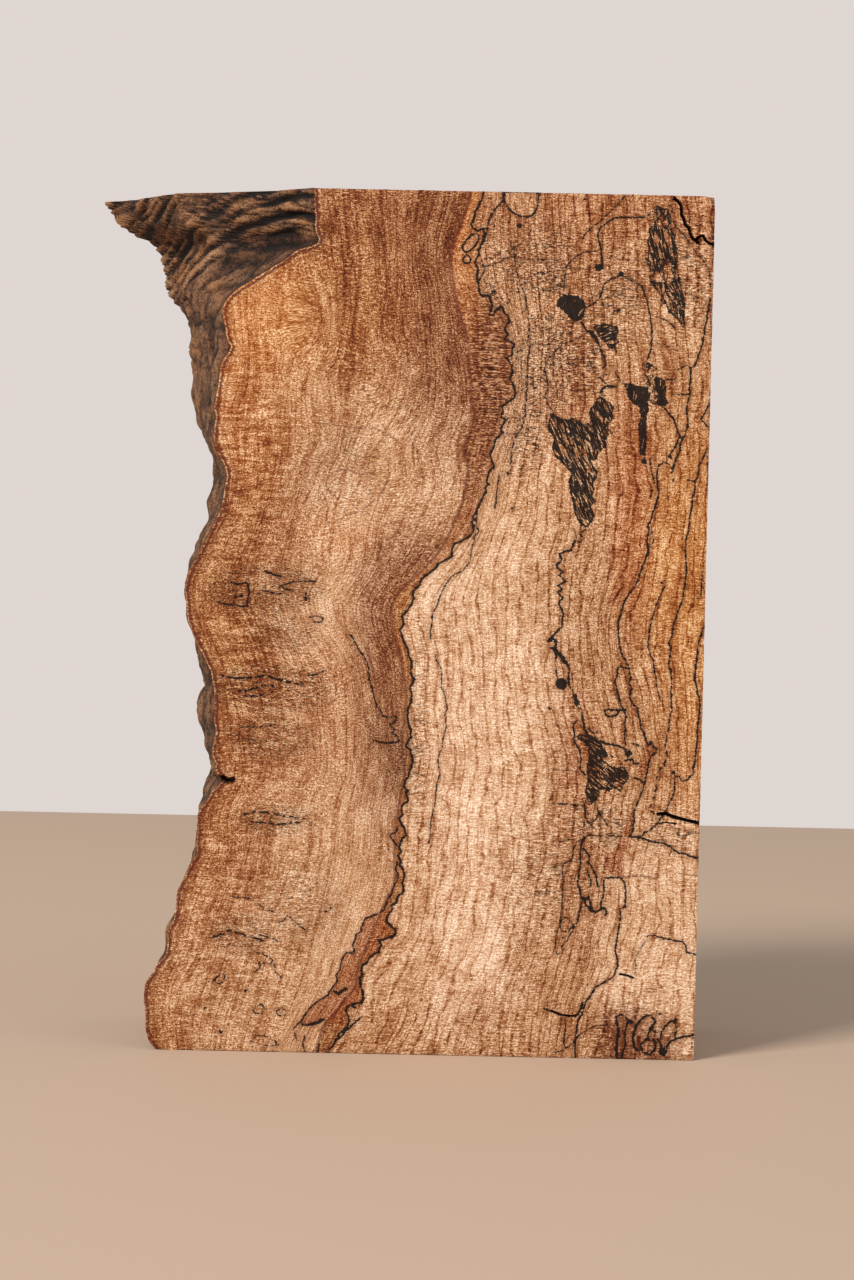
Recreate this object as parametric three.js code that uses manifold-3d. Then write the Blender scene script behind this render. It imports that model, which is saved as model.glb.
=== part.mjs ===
// Maple burl: one sawn block of spalted burl wood, standing on its sawn foot.
// Five faces are sawn flat. The side at -X is the live edge, where the bark swells out
// over the back of the block and ends in a pointed horn at the top.
// Units are millimetres. +Z is up, the figured front face looks along -Y, and the origin
// is the middle of the bounding box's foot.

import * as THREE from 'three';
import { mergeVertices } from 'three/addons/utils/BufferGeometryUtils.js';
import Module from 'manifold-3d';

// Driving dimensions of the sawn block.
const HEIGHT = 350;
const THICKNESS = 80;
const WIDTH = 254;
const RIGHT = WIDTH / 2;
const FRONT = -THICKNESS / 2;

// Grid of the live surface: columns run from front to back, rows from foot to top, and both
// start a little outside the block so that they end past its faces.
const COLUMN_PITCH = 5;
const ROW_PITCH = 2.5;
const SPARE = 10;

// Where the sawn front face meets the bark: [height, reach from the right sawn side].
const FRONT_OUTLINE = [
  [0, 219], [3, 222], [9, 223.8], [13, 223.4], [24.5, 224.8], [27, 224], [30, 221.7],
  [36, 219], [38.5, 215.5], [45, 215], [49.5, 215.3], [52, 213], [58.5, 212], [65, 211.5],
  [68.5, 210], [77, 205.6], [80, 203.6], [83, 203.6], [86, 205.2], [89.5, 203], [92, 204.5],
  [98, 203.5], [103.5, 199], [109, 196], [110.5, 191], [112, 195], [114.5, 198.3], [117, 195.2],
  [120, 198.5], [123, 198.5], [130, 196.5], [135, 197.8], [143, 197.5], [152, 198.5],
  [161, 202], [165, 205], [174, 208.8], [187, 210.3], [191, 210], [195, 209], [205, 203.5],
  [216, 198.5], [221, 196], [234, 194], [236, 194.5], [245, 199], [250, 200], [257.5, 199],
  [260, 200], [265, 199], [277, 197.6], [281.5, 196], [284.5, 193.5], [292, 195.5], [300, 197],
  [304, 196], [306.5, 193.5], [309.5, 190], [319, 175], [322.5, 170.3], [325, 167], [326.3, 164],
  [327, 160], [328, 157.2], [330.5, 158.8], [333, 160], [350, 160.5],
];

// Where the sawn back face meets the bark, up to the tip of the horn: [height, reach].
const BACK_OUTLINE = [
  [0, 217], [10, 220], [22, 221], [40, 217], [60, 212], [75, 208], [88, 205], [95, 206.3],
  [99.5, 207], [107.5, 204.7], [115, 204], [121, 205.5], [125, 206.8], [130, 210], [134, 211.1],
  [138.5, 210.9], [145, 206.8], [151, 209.3], [160, 211], [170, 211], [185, 213], [197, 214],
  [203.5, 212.7], [210, 210.6], [215, 206.8], [223, 207.7], [231, 204.7], [242, 206.3],
  [248, 209], [256.5, 212.5], [261, 212.2], [264, 214.3], [268.5, 215.6], [276, 214.8],
  [282, 216.4], [288, 217], [294, 216.5], [300, 218], [305, 221], [311, 226.5], [314, 228],
  [318, 227.5], [324, 229], [329.5, 231.5], [333, 234], [335, 240], [339, 247.5], [344, 250.5],
  [347.5, 253.5], [350, 254],
];

// Plan of the bark across the top of the block: [depth, share of the way out to the tip].
const HORN_PLAN = [
  [0, 0], [7, 0.08], [15, 0.16], [21, 0.27], [26, 0.39], [32, 0.5], [34, 0.62], [52, 0.74],
  [71, 0.87], [80, 1],
];
const HORN_FOOT = 285;
const HORN_FULL = 325;

// How the bark swings from the front outline to the back one below the horn: under 1, it
// leaves the front outline quickly and then runs on nearly level.
const SWING = 0.8;

// Flutes of the bark below the horn: the groove that all others follow, where it starts to
// fall and ends falling, how far it falls towards the back, how far apart the flutes are at the
// front and at the back, how deep they are, and how far below the groove they fade out.
const GROOVE_HEIGHT = 333;
const FALL_FROM = 15;
const FALL_TO = 85;
const FLUTE_FALL = 22;
const FLUTE_PITCH_FRONT = 7;
const FLUTE_PITCH_BACK = 4.8;
const FLUTE_DEPTH = 2.2;
const CREST_SHARE = 0.2;
const FLUTED_BAND = 18;

// Low swellings all over the rest of the bark, broad ones with small ones on them.
const BROAD_SWELL = { rise: 1.2, along: 43, across: 51 };
const SMALL_SWELL = { rise: 0.6, along: 23, across: 19 };

// How far behind the front face the flutes and swellings reach their full height, and how
// far before the back face they start to die away again.
const SETTLE_FRONT = 12;
const SETTLE_BACK = 6;

const { lerp, smoothstep } = THREE.MathUtils;

function along(points, position) {
  const [firstPlace, firstValue] = points[0];
  if (position <= firstPlace) {
    return firstValue;
  }
  const after = points.findIndex(([place]) => place >= position);
  if (after < 0) {
    return points.at(-1)[1];
  }
  const [lowPlace, lowValue] = points[after - 1];
  const [highPlace, highValue] = points[after];
  return lerp(lowValue, highValue, (position - lowPlace) / (highPlace - lowPlace));
}

function flute(depth, height) {
  const level = height - GROOVE_HEIGHT + FLUTE_FALL * smoothstep(depth, FALL_FROM, FALL_TO);
  const pitch = lerp(FLUTE_PITCH_FRONT, FLUTE_PITCH_BACK, smoothstep(depth, 0, THICKNESS));
  const ridge = Math.abs(Math.sin(Math.PI * level / pitch));
  return FLUTE_DEPTH * (ridge + CREST_SHARE - 1) * smoothstep(level, -FLUTED_BAND, 0);
}

function swell({ rise, along: length, across: breadth }, depth, height) {
  const climbing = Math.sin(2 * Math.PI * (height + 0.6 * depth) / length);
  const crossing = Math.cos(2 * Math.PI * (depth - 0.3 * height) / breadth);
  return rise * climbing * crossing;
}

function swelling(depth, height) {
  const below = 1 - smoothstep(height, HORN_FOOT, HORN_FULL);
  return below * (swell(BROAD_SWELL, depth, height) + swell(SMALL_SWELL, depth, height));
}

function reach(depth, height) {
  const plain = (depth / THICKNESS) ** SWING;
  const horned = along(HORN_PLAN, depth);
  const share = lerp(plain, horned, smoothstep(height, HORN_FOOT, HORN_FULL));
  const smooth = lerp(along(FRONT_OUTLINE, height), along(BACK_OUTLINE, height), share);
  const fromFront = smoothstep(depth, 0, SETTLE_FRONT);
  const fromBack = smoothstep(THICKNESS - depth, 0, SETTLE_BACK);
  return smooth + fromFront * fromBack * (flute(depth, height) + swelling(depth, height));
}

// The space outside the live edge, as a box whose inner wall is drawn to the bark's shape.
function outsideOfBark() {
  const thickness = THICKNESS + 2 * SPARE;
  const height = HEIGHT + 2 * SPARE;
  const columns = thickness / COLUMN_PITCH;
  const rows = height / ROW_PITCH;
  const outside = new THREE.BoxGeometry(WIDTH, thickness, height, 1, columns, rows);
  outside.translate(-WIDTH, 0, HEIGHT / 2);
  const place = outside.getAttribute('position');
  for (let corner = 0; corner < place.count; corner += 1) {
    if (place.getX(corner) > -WIDTH) {
      const depth = THREE.MathUtils.clamp(place.getY(corner) - FRONT, 0, THICKNESS);
      place.setX(corner, RIGHT - reach(depth, place.getZ(corner)));
    }
  }
  return outside;
}

function sawnBlock() {
  const block = new THREE.BoxGeometry(WIDTH, THICKNESS, HEIGHT);
  block.translate(0, 0, HEIGHT / 2);
  return block;
}

const wasm = await Module();
wasm.setup();

function solidOf(geometry) {
  geometry.deleteAttribute('normal');
  geometry.deleteAttribute('uv');
  const merged = mergeVertices(geometry);
  return new wasm.Manifold(new wasm.Mesh({
    numProp: 3,
    vertProperties: new Float32Array(merged.getAttribute('position').array),
    triVerts: new Uint32Array(merged.getIndex().array),
  }));
}

function geometryOf(solid) {
  const { vertProperties, triVerts } = solid.getMesh();
  const geometry = new THREE.BufferGeometry();
  geometry.setAttribute('position', new THREE.BufferAttribute(vertProperties, 3));
  geometry.setIndex(new THREE.BufferAttribute(triVerts, 1));
  geometry.computeVertexNormals();
  return geometry;
}

const wood = new THREE.MeshStandardMaterial({ color: 0xc8925f, roughness: 0.6, metalness: 0 });
const solid = solidOf(sawnBlock()).subtract(solidOf(outsideOfBark()));
const burl = new THREE.Mesh(geometryOf(solid), wood);
burl.name = 'maple_burl';

const part = new THREE.Group();
part.add(burl);

export default part;
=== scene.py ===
"""A spalted maple burl block: five sawn faces with the wood's figure, and one live edge of bark."""

import math

import bmesh
import bpy
import numpy as np
from bpy.props import FloatProperty, FloatVectorProperty, IntProperty, PointerProperty
from mathutils import Euler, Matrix, Vector, kdtree, noise
from mathutils.bvhtree import BVHTree
from mathutils.geometry import delaunay_2d_cdt


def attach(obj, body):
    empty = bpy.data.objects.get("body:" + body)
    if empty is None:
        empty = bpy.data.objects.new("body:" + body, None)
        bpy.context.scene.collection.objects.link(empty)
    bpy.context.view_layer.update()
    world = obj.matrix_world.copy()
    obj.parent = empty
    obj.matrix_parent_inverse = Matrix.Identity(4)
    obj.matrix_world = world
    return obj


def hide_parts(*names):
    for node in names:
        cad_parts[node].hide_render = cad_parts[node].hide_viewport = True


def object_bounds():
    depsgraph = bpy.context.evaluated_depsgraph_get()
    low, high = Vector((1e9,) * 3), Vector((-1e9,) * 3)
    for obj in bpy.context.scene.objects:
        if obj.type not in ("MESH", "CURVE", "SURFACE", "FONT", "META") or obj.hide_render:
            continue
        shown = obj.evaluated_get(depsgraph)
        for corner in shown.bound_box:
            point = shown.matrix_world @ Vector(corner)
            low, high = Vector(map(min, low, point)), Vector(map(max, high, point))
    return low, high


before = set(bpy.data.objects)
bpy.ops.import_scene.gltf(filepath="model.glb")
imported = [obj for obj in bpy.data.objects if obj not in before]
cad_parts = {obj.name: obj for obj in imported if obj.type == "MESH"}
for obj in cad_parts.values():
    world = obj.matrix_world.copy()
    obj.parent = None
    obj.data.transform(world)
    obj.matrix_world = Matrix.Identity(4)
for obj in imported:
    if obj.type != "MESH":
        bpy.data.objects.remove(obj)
CAD_LOW, CAD_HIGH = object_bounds()

bl_info = {
    "name": "Maple Burl Block",
    "version": (1, 0, 0),
    "blender": (4, 5, 0),
    "location": "View3D > Sidebar > Burl",
    "description": "Builds a spalted maple burl block with a live edge, and a plain stage for it",
    "category": "Add Mesh",
}

# The block's own coordinates are millimetres: the distance from the straight sawn side, the
# depth behind the front face, and the height. Blender's are metres.
MM = 0.001
WIDTH = (CAD_HIGH.x - CAD_LOW.x) / MM
DEPTH = (CAD_HIGH.y - CAD_LOW.y) / MM
HEIGHT = (CAD_HIGH.z - CAD_LOW.z) / MM

# The stage, in metres: the square floor, and how far behind the block's middle it ends.
FLOOR_SIZE = 8.0
FLOOR_END = 0.85
SENSOR_WIDTH = 36.0
CAMERA_REACH = 20.0
KEY_COLOUR = (1.0, 0.955, 0.865)
FILL_COLOUR = (0.95, 0.97, 1.0)
SKY_COLOUR = (1.0, 0.98, 0.935)

# Edges between faces that turn by less than this many degrees are shaded smooth.
SMOOTH_ANGLE = 38.0

# How the figure of the front face changes through the thickness: it closes in on this centre
# by this share at the back, and wanders by this much.
FIGURE_CENTRE = (150.0, 170.0)
FIGURE_CLOSING = 0.33
FIGURE_WANDER = 6.0

# Growth rings: [ring coordinate, [(height, distance from the straight side), ...]].
RINGS = [
    (0, [(0, 0), (350, 0)]),
    (27, [(0, 46), (20, 42), (40, 34), (60, 32), (80, 30), (100, 26), (120, 23), (135, 26), (150, 30),
     (165, 33.5), (175, 35), (185, 33), (195, 28), (210, 25), (230, 22), (250, 24), (300, 28), (350, 30)]),
    (57, [(0, 67), (10, 66), (30, 63), (50, 57), (70, 55), (90, 50), (110, 50), (130, 52), (150, 56),
     (165, 59), (190, 59), (205, 58), (215, 54), (240, 55), (270, 57), (320, 59), (350, 60)]),
    (85, [(0, 107), (10, 104), (30, 98), (50, 92), (70, 88), (90, 86), (110, 86.5), (130, 87), (150, 88),
     (165, 90), (185, 93), (195, 91), (210, 87), (225, 82), (240, 80), (255, 76), (270, 73.5), (300, 74),
     (320, 77), (350, 78)]),
    (115, [(0, 149), (10, 142), (20, 139), (30, 137), (40, 132), (50, 123), (60, 124), (75, 121),
     (100, 121), (120, 117), (140, 119), (160, 118), (175, 122), (190, 117), (200, 108), (210, 98),
     (220, 95), (240, 88.5), (255, 84), (270, 79), (290, 81), (302, 87), (310, 93), (335, 96), (350, 93)]),
    (122, [(0, 156), (12, 151), (20, 144), (33, 138), (45, 134), (57, 129), (75, 124), (100, 124),
     (120, 121), (140, 121), (160, 122), (175, 126.5), (185, 126), (195, 117), (205, 108), (215, 103),
     (230, 98.5), (245, 99.5), (262, 95), (280, 97.5), (300, 101.5), (320, 106), (335, 102.5), (350, 98)]),
    (165, [(0, 172), (20, 163), (40, 157), (55, 154), (70, 151), (85, 148), (100, 146), (115, 143),
     (135, 142), (155, 146), (165, 150), (175, 158), (185, 162), (200, 160), (220, 155), (240, 150),
     (260, 142), (280, 138), (320, 138), (350, 140)]),
    (215, [(0, 220), (14, 224), (27, 223), (40, 215.5), (60, 212), (80, 204.5), (98, 203), (110, 197),
     (135, 197.5), (152, 199), (174, 208.5), (190, 210), (205, 204), (221, 196), (240, 196), (260, 200),
     (281, 196), (300, 197), (315, 200), (350, 205)]),
]

# The black line that parts the darker, bark-side wood from the pale wood.
MAIN_LINE = [
    (93.2, 350), (93.5, 347.5), (95, 344), (96.5, 341.5), (97, 338.5), (98, 336.5), (97, 335), (95.5, 334),
    (93, 335), (92.7, 333), (93, 331), (94, 328), (95, 326), (94.5, 324.5), (95.5, 323), (96, 321),
    (95, 319.5), (95, 314), (94.3, 312), (94, 309.5), (92.7, 308), (90, 308), (89.5, 306.5), (88.8, 305),
    (89, 303), (90, 301), (88.5, 300.5), (87, 302.5), (85.8, 304), (84.5, 303.5), (84, 301.5),
    (82.5, 300.5), (82, 298.5), (81.5, 297.8), (83, 296.5), (83.5, 294.8), (82, 293), (83.5, 291),
    (81, 290), (79.5, 289), (80.3, 287), (80.2, 285), (82.5, 283.5), (81.5, 282), (80.5, 280.5),
    (79.8, 278), (81, 275), (79.5, 272.5), (78.5, 269.5), (79, 267.5), (82, 265.5), (84, 264), (83.5, 262),
    (84.2, 260), (82.5, 258.5), (83.8, 256), (84, 253), (86.5, 250.5), (86.7, 248), (87.5, 246.5),
    (88.3, 244.5), (87.5, 242), (86.5, 239.5), (88.5, 237.5), (89, 236), (89.3, 233.5), (88.7, 232.5),
    (90, 231), (89.5, 229.5), (90.5, 228), (91.5, 225.5), (93, 222.5), (94.5, 219.5), (95, 217),
    (94.5, 213), (96.5, 211), (99, 209.5), (102, 208), (103, 206), (102.7, 203), (105.5, 201.5),
    (108.5, 200), (109, 198.5), (111.5, 196.5), (113.5, 195), (115, 193.5), (115.5, 191.5), (117.5, 189.5),
    (118.5, 187.5), (118, 185.5), (119.5, 182.5), (121, 180.5), (122.5, 178.5), (121.8, 176.5),
    (122, 174.5), (123.2, 173), (122.5, 171.5), (121.5, 168), (120, 165.5), (119.5, 163), (118.2, 160.5),
    (118.5, 157), (118, 154.5), (116.8, 153), (118.5, 150), (118, 147.5), (118, 144), (119, 141.5),
    (119.5, 138), (119, 135.5), (118, 132), (117.8, 129.5), (119, 128), (120, 126), (118, 124.5),
    (117, 121), (117.2, 118.5), (118, 116), (118.7, 113.5), (120, 111.5), (120.2, 109.5), (118.5, 108),
    (119.5, 107), (118.5, 104), (121, 101.5), (121.2, 100), (120.5, 98), (122, 96.5), (121, 94),
    (119.5, 92), (119, 90), (120.5, 88.5), (121.8, 85), (120.8, 83), (122.3, 81.5), (121, 79.5),
    (121.2, 77.5), (119.7, 75), (119.3, 72.5), (120.2, 70), (119.5, 67), (122, 64.5), (122.5, 62),
    (124.5, 61), (124, 59.5), (125.5, 57), (126.3, 54.5), (124.5, 53), (122.5, 51), (122.5, 49),
    (124.5, 48), (127, 47), (129.5, 46.5), (128, 45), (129, 43), (129, 41.5), (131, 41), (133, 39.5),
    (133.5, 37.5), (136, 36), (136, 34), (135.5, 32.5), (136.8, 31), (136.3, 28), (135.3, 25.5), (135, 23),
    (135.5, 21), (138, 20.7), (139.5, 20), (141.5, 19.3), (142, 17.5), (141, 15), (140.7, 12.5),
    (141.5, 11), (143, 9.5), (144.5, 8.5), (145, 6.5), (146, 5), (147, 3), (148.5, 1.5), (149, 0),
]

# The dark red-brown line that runs beside it, and closes the band of deep brown between them.
HEART_LINE = [
    (98, 350), (101, 340), (102.5, 335), (105, 330), (106, 320), (104, 310), (101.5, 300), (98, 290),
    (97.5, 280), (96.5, 270), (95, 262), (96, 255), (98.5, 250), (99.5, 245), (97, 240), (97.5, 235),
    (98.5, 230), (99, 225), (101, 220), (103, 215), (105, 210), (108, 205), (112, 200), (117, 195),
    (122.5, 190), (126, 185), (127, 180), (126.5, 175), (126, 170), (123.5, 165), (122, 160), (121.5, 155),
    (120.5, 150), (120, 145), (120.5, 140), (121.5, 125), (119.5, 115), (122, 105), (123.5, 92), (124, 80),
    (123, 70), (127, 62), (129, 57), (131.5, 50), (134, 45), (137, 38), (138, 33), (138, 27), (141, 24),
    (144, 20), (147, 16), (151, 12), (154, 0),
]

# Black strokes of the spalting: (width, points).
STROKES = [
    (0.8, [(122.5, 93), (123, 91), (125.5, 89.5), (124, 87), (122.8, 85.5)]),
    (0.8, [(122.5, 79), (123, 76), (121.7, 73), (122.5, 70.5), (124, 68), (124.5, 65.5), (126, 63),
     (127, 60.5), (127.3, 59), (129, 58)]),
    (0.8, [(84.5, 350), (85, 347.5), (86, 345.5), (88, 343.5), (89.5, 341), (91, 338), (91.5, 335),
     (92, 332), (93, 329), (94.5, 327)]),
    (0.9, [(135.5, 15.3), (138, 13), (140.5, 10.5), (143, 8), (144.5, 6)]),
    (1.0, [(140.5, 19.5), (138, 19)]),
    # Thin lines in the pale wood, from the main line towards the straight side.
    (0.6, [(93.5, 322.5), (92.8, 320), (92.3, 318), (93.5, 316), (94.3, 313)]),
    (0.45, [(92, 320), (89, 320.5), (86, 322), (83.5, 323.5), (81, 324), (75, 323.2), (70, 323.2),
     (62, 322.8)]),
    (0.45, [(80.5, 328), (80, 323), (80, 320), (78.5, 316), (77, 312), (75.5, 308), (75, 304),
     (75.5, 302.5), (77, 301.8)]),
    (0.55, [(92.8, 222), (93.3, 219), (93.5, 216), (92, 213.5), (94, 211), (94.5, 208), (95.2, 204),
     (95.3, 201.5), (97, 199), (99, 197), (101.5, 196), (103, 195), (104.5, 192.5), (106, 190),
     (107.3, 186.5), (108.5, 183), (110, 180), (110.5, 176), (111, 172), (110.5, 169)]),
    (0.45, [(109, 163), (106, 157), (106, 150), (105, 148.5), (104, 144), (103.3, 141.5), (104.3, 140),
     (103.8, 134), (104.5, 131), (105, 127), (106.5, 122), (106.5, 118), (105.8, 115), (107, 111),
     (107.3, 106), (108, 101), (109, 96), (109.3, 91), (109.8, 86.5)]),
    # Upper part of the pale wood.
    (0.5, [(36, 350), (38, 347), (41, 344), (44, 341), (48, 337.5), (52, 334), (53.5, 330)]),
    (0.8, [(28, 341), (33, 340.7), (40, 340.5), (42.5, 339), (44.5, 337.3), (46.5, 336), (47, 333.5),
     (46, 329.5), (45, 324), (44.5, 320)]),
    (0.5, [(47, 327), (52, 326.5), (55, 325), (57.5, 323), (59.8, 320), (59.7, 317), (60, 313),
     (60.2, 310.5)]),
    (0.75, [(51, 304), (46, 307.5), (45, 310), (44, 313.5), (41, 316), (37, 317.5), (34, 316), (31, 314.5),
     (29, 313.5), (27.3, 309.5), (26.2, 306), (25.3, 302), (24.5, 298), (24.2, 293), (24.8, 287),
     (25.8, 284)]),
    (0.45, [(17, 340), (16, 338), (14, 335.5), (12, 333.5), (10.5, 331.5), (8.5, 329), (7, 326.5), (5, 325),
     (3.5, 323), (2, 320), (1.3, 316.5), (1, 313)]),
    (0.85, [(1.2, 309), (1.8, 305), (2.2, 301), (3, 297), (4, 290), (5.5, 285), (7, 281.5), (8.3, 281),
     (8.5, 275), (8.5, 271), (9.5, 266), (9.3, 262), (9, 259), (9, 256.5), (10, 255.5)]),
    (0.5, [(8.3, 281), (10.5, 282), (12, 281), (13.5, 280)]),
    (0.7, [(13.8, 277), (15.5, 276), (18, 276.3)]),
    (0.8, [(20, 266), (18, 264), (16.5, 262), (14.5, 260), (13.5, 257), (13, 255.5), (12, 253.5),
     (13.5, 250), (15, 247.5), (16, 246)]),
    (0.9, [(10, 254), (11, 252.5), (11.8, 250), (12, 247), (13.5, 244.5), (14, 242), (14.5, 239.5),
     (15, 238.5)]),
    (0.7, [(24, 244), (23.5, 241), (23, 238.5), (22.5, 236.5), (21, 236.5), (20.8, 239), (20.3, 241.5),
     (18, 243), (16, 242)]),
    (0.85, [(20.7, 236.5), (20.5, 233), (20, 230), (20.8, 227), (22, 223), (22.7, 220), (24, 217.5),
     (23.7, 215), (24.3, 211), (23.7, 207), (25, 203), (26.5, 198), (27.5, 195), (29.5, 191.5),
     (31.5, 188.5), (33, 186), (33.8, 182), (35, 178), (35, 174), (34.5, 169.5), (33.5, 165.5), (31.5, 162),
     (30.3, 159.5), (30, 157), (29.5, 155), (30.3, 153.5), (28.7, 151), (30, 148), (28.7, 145.5),
     (26.5, 143.5), (26, 140), (25.2, 138), (25, 135.5), (23.5, 133), (22.5, 130), (21.5, 128.5),
     (20.3, 130), (19.5, 127.5), (18, 127), (18.5, 125.5), (20.5, 124), (21.5, 121), (22, 117), (22.8, 113),
     (24, 109), (25.5, 105), (27, 101), (26.7, 97), (27.5, 92.5), (28.5, 91)]),
    (0.8, [(34.8, 159.8), (35, 157), (36, 154), (35, 151), (34, 147), (32.8, 144), (32, 142.5), (31, 140),
     (31.5, 137), (31.3, 133), (31, 128)]),
    (0.7, [(34.8, 159.8), (30.5, 159.6)]),
    (0.4, [(23, 218), (22.3, 214.5), (21.7, 211), (23, 207.5), (24, 205)]),
    (0.65, [(16.3, 193.5), (18, 190), (19, 187.5), (20, 185), (21, 181), (22, 177), (22.5, 173),
     (22.8, 169), (22, 165.5), (20.5, 162.5), (20, 159), (19.3, 156), (19, 152), (18, 149.5), (17.5, 147)]),
    (0.8, [(0, 267), (1.5, 265), (3.5, 260), (1.5, 258), (0.5, 257)]),
    (0.8, [(0.8, 249), (2, 246), (4, 242), (4.3, 238), (5.5, 235), (5.5, 232), (6.5, 228), (6.5, 225),
     (7.5, 220), (7.5, 216), (8.5, 212), (8.7, 209), (8.3, 203), (8, 200), (8.3, 196), (9, 191), (9.5, 187),
     (11, 183), (12, 180), (12.8, 177), (13.2, 173), (14.5, 170), (13.5, 168), (14, 164), (14.5, 161),
     (13.2, 159), (13, 155), (13, 146), (12.5, 143)]),
    (0.5, [(5.5, 235), (7.5, 235.8), (8.5, 236)]),
    (0.85, [(0.3, 177), (1.5, 173.5), (2.5, 170), (3, 165), (3.5, 160), (3.5, 155), (2.5, 151),
     (1.5, 147.5), (1.2, 142), (1.8, 138), (1.8, 132), (2.3, 127), (2.8, 122), (3.5, 117), (4.5, 116),
     (6, 114.5), (8, 114), (9, 116), (10.5, 116)]),
    (0.75, [(10.8, 115), (10.7, 110), (12, 106), (14, 101.5), (16.5, 98), (18, 96), (20, 94), (22.5, 92.8),
     (24, 91), (27, 91)]),
    (0.6, [(1.5, 199), (1.7, 195), (1.8, 190), (2, 188.5), (5, 188)]),
    (0.6, [(23, 301), (20, 300.3), (18, 299.5), (15, 296.5)]),
    (0.45, [(22, 290.5), (19, 290.3), (16.5, 288.3), (14, 288)]),
    (0.6, [(15, 270.2), (9, 270.3)]),
    # Zigzag below the great swirl, down to the eye and the lower swirl.
    (0.7, [(48.5, 215.5), (51.5, 213.5), (50, 211.5), (51, 210), (53.5, 210.5)]),
    (0.4, [(54, 216), (53.3, 214), (52.5, 210.5)]),
    (0.95, [(53.5, 210.5), (54, 209), (55, 206.5), (57, 206), (59.5, 205), (58.5, 203.5), (58.8, 201.8),
     (60.7, 200.8), (60.3, 199.5), (57.8, 198.2), (59.3, 196.3), (56.7, 194), (59.8, 192.5), (58, 190.7),
     (59.8, 189.5), (57.8, 187.5), (59.2, 185), (58, 182.5), (57.3, 181), (57.8, 178), (57.8, 175.5),
     (59.8, 173.5), (61, 172), (63, 170.5)]),
    (1.2, [(63.5, 169.5), (61, 171), (59.8, 169), (60.5, 167), (62.5, 167)]),
    (1.8, [(61, 167), (58.5, 164.5), (57, 162.5), (55.5, 160.5)]),
    (0.9, [(55, 160), (54.3, 158), (54.8, 155.5), (54.2, 152.5)]),
    (0.8, [(54, 151.5), (52.5, 149)]),
    (1.1, [(49, 141), (48.5, 138.5), (48.5, 137.5), (47.5, 134), (46.5, 132)]),
    (0.8, [(50.5, 138), (52.2, 136.5), (51.8, 133), (52, 130.5), (51, 128), (49.5, 126), (48.7, 122),
     (49.3, 118), (46.8, 115.5)]),
    (0.5, [(60.5, 170), (60, 164), (60, 160), (59.5, 156), (58.8, 154)]),
    (0.4, [(42.3, 134), (43.5, 132.3), (45.5, 134), (46, 136)]),
    (0.6, [(28.5, 129), (26, 128.3), (24, 127), (23.3, 127)]),
    (1.0, [(40, 142.2), (38, 142.5), (35, 142.5), (34, 141.5), (35, 140.3), (37.5, 139.6), (39.2, 140.3),
     (40, 142.2)]),
    (1.2, [(34.5, 142.3), (31.5, 142.3)]),
    # Around the lower swirl.
    (1.0, [(46, 131.7), (42.5, 130), (38, 128.5), (34, 128), (32, 127), (30.5, 125.8)]),
    (1.0, [(31, 122), (28, 122.5), (27.5, 120.5), (25.5, 121)]),
    (0.9, [(27, 115), (24.5, 114.3), (23.2, 113)]),
    (0.6, [(47.2, 104), (46.8, 101), (46.5, 98.5), (45.5, 96.8), (43.5, 96.5), (42, 98), (41.3, 100),
     (42, 103), (42.5, 105)]),
    (0.5, [(41.3, 101), (39.5, 98.5), (38, 96), (36.5, 94.5)]),
    # Around the great swirl and the small ones above it.
    (1.2, [(44.5, 270), (43.5, 272), (42, 273), (38, 272.8)]),
    (0.5, [(42, 273.5), (44, 275.5), (45.2, 276.5), (43, 277.5), (41, 277.3)]),
    (0.6, [(43.3, 283.5), (42.5, 281.5), (44, 280)]),
    (1.0, [(53, 298.5), (51, 295.5), (50.5, 294.8), (48, 294.8)]),
    (0.5, [(50.5, 294.5), (53.5, 292), (56, 291), (60, 289.5), (63, 286.5), (66, 283), (67.3, 279),
     (66.2, 276), (65.5, 272), (66.8, 268.5), (65.5, 265), (63.5, 262.5)]),
    (1.6, [(49, 294.5), (47, 292.5), (45.5, 289.5)]),
    (0.9, [(45.5, 289.5), (44.5, 286.5), (43, 284)]),
    (0.6, [(36, 274.5), (38, 277.5), (39.5, 279.8)]),
    (0.6, [(24.8, 344.8), (23.5, 345.5), (21.8, 344.8)]),
    (0.6, [(19, 345.8), (18, 346), (17.3, 344.5), (17.5, 343)]),
    # Lower right, below the cracks.
    (0.9, [(27.5, 91), (23.5, 90.5), (20, 89.3), (16, 88.8), (13.5, 88.3), (11, 86.5), (8, 84.8), (5, 84.3),
     (2, 83), (0, 83)]),
    (1.0, [(38, 74), (35.5, 74.3), (32, 74.5), (31, 73.8)]),
    (0.85, [(30.5, 73), (29.8, 71), (29.3, 69), (29.5, 65), (29.3, 62.5), (31.5, 61.5), (31.5, 58),
     (31.8, 54), (32.5, 50), (32.7, 47), (33, 44), (32, 41), (32, 38), (33, 36), (33.5, 34), (35.5, 32.5),
     (38, 31), (40.5, 29.5), (42, 27), (44.5, 23.5), (45, 22), (45.5, 20.5), (46, 18), (47.5, 16), (48, 13),
     (48.3, 9), (48.5, 5), (48.5, 0)]),
    (0.9, [(61.5, 20), (58, 19), (54, 17.5), (50.5, 17.2), (48, 18), (47, 20), (46, 23)]),
    (0.5, [(53, 16), (52.5, 12), (53, 8), (53, 5.5)]),
    (0.5, [(57, 2.3), (54, 2.8), (51.5, 4.5), (49.5, 6.5), (47, 9.5), (43.5, 12), (40, 13.7), (35, 14)]),
    (0.65, [(20, 51), (17, 50.7), (12, 49.5), (8, 48.8), (6, 48.5), (4.5, 47), (4.3, 44.5), (2, 44),
     (0, 43.5)]),
    (0.35, [(20, 51), (21, 48.5), (23, 45), (25, 41.5), (24.5, 38), (25, 34.5)]),
    # Long island left of it.
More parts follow.
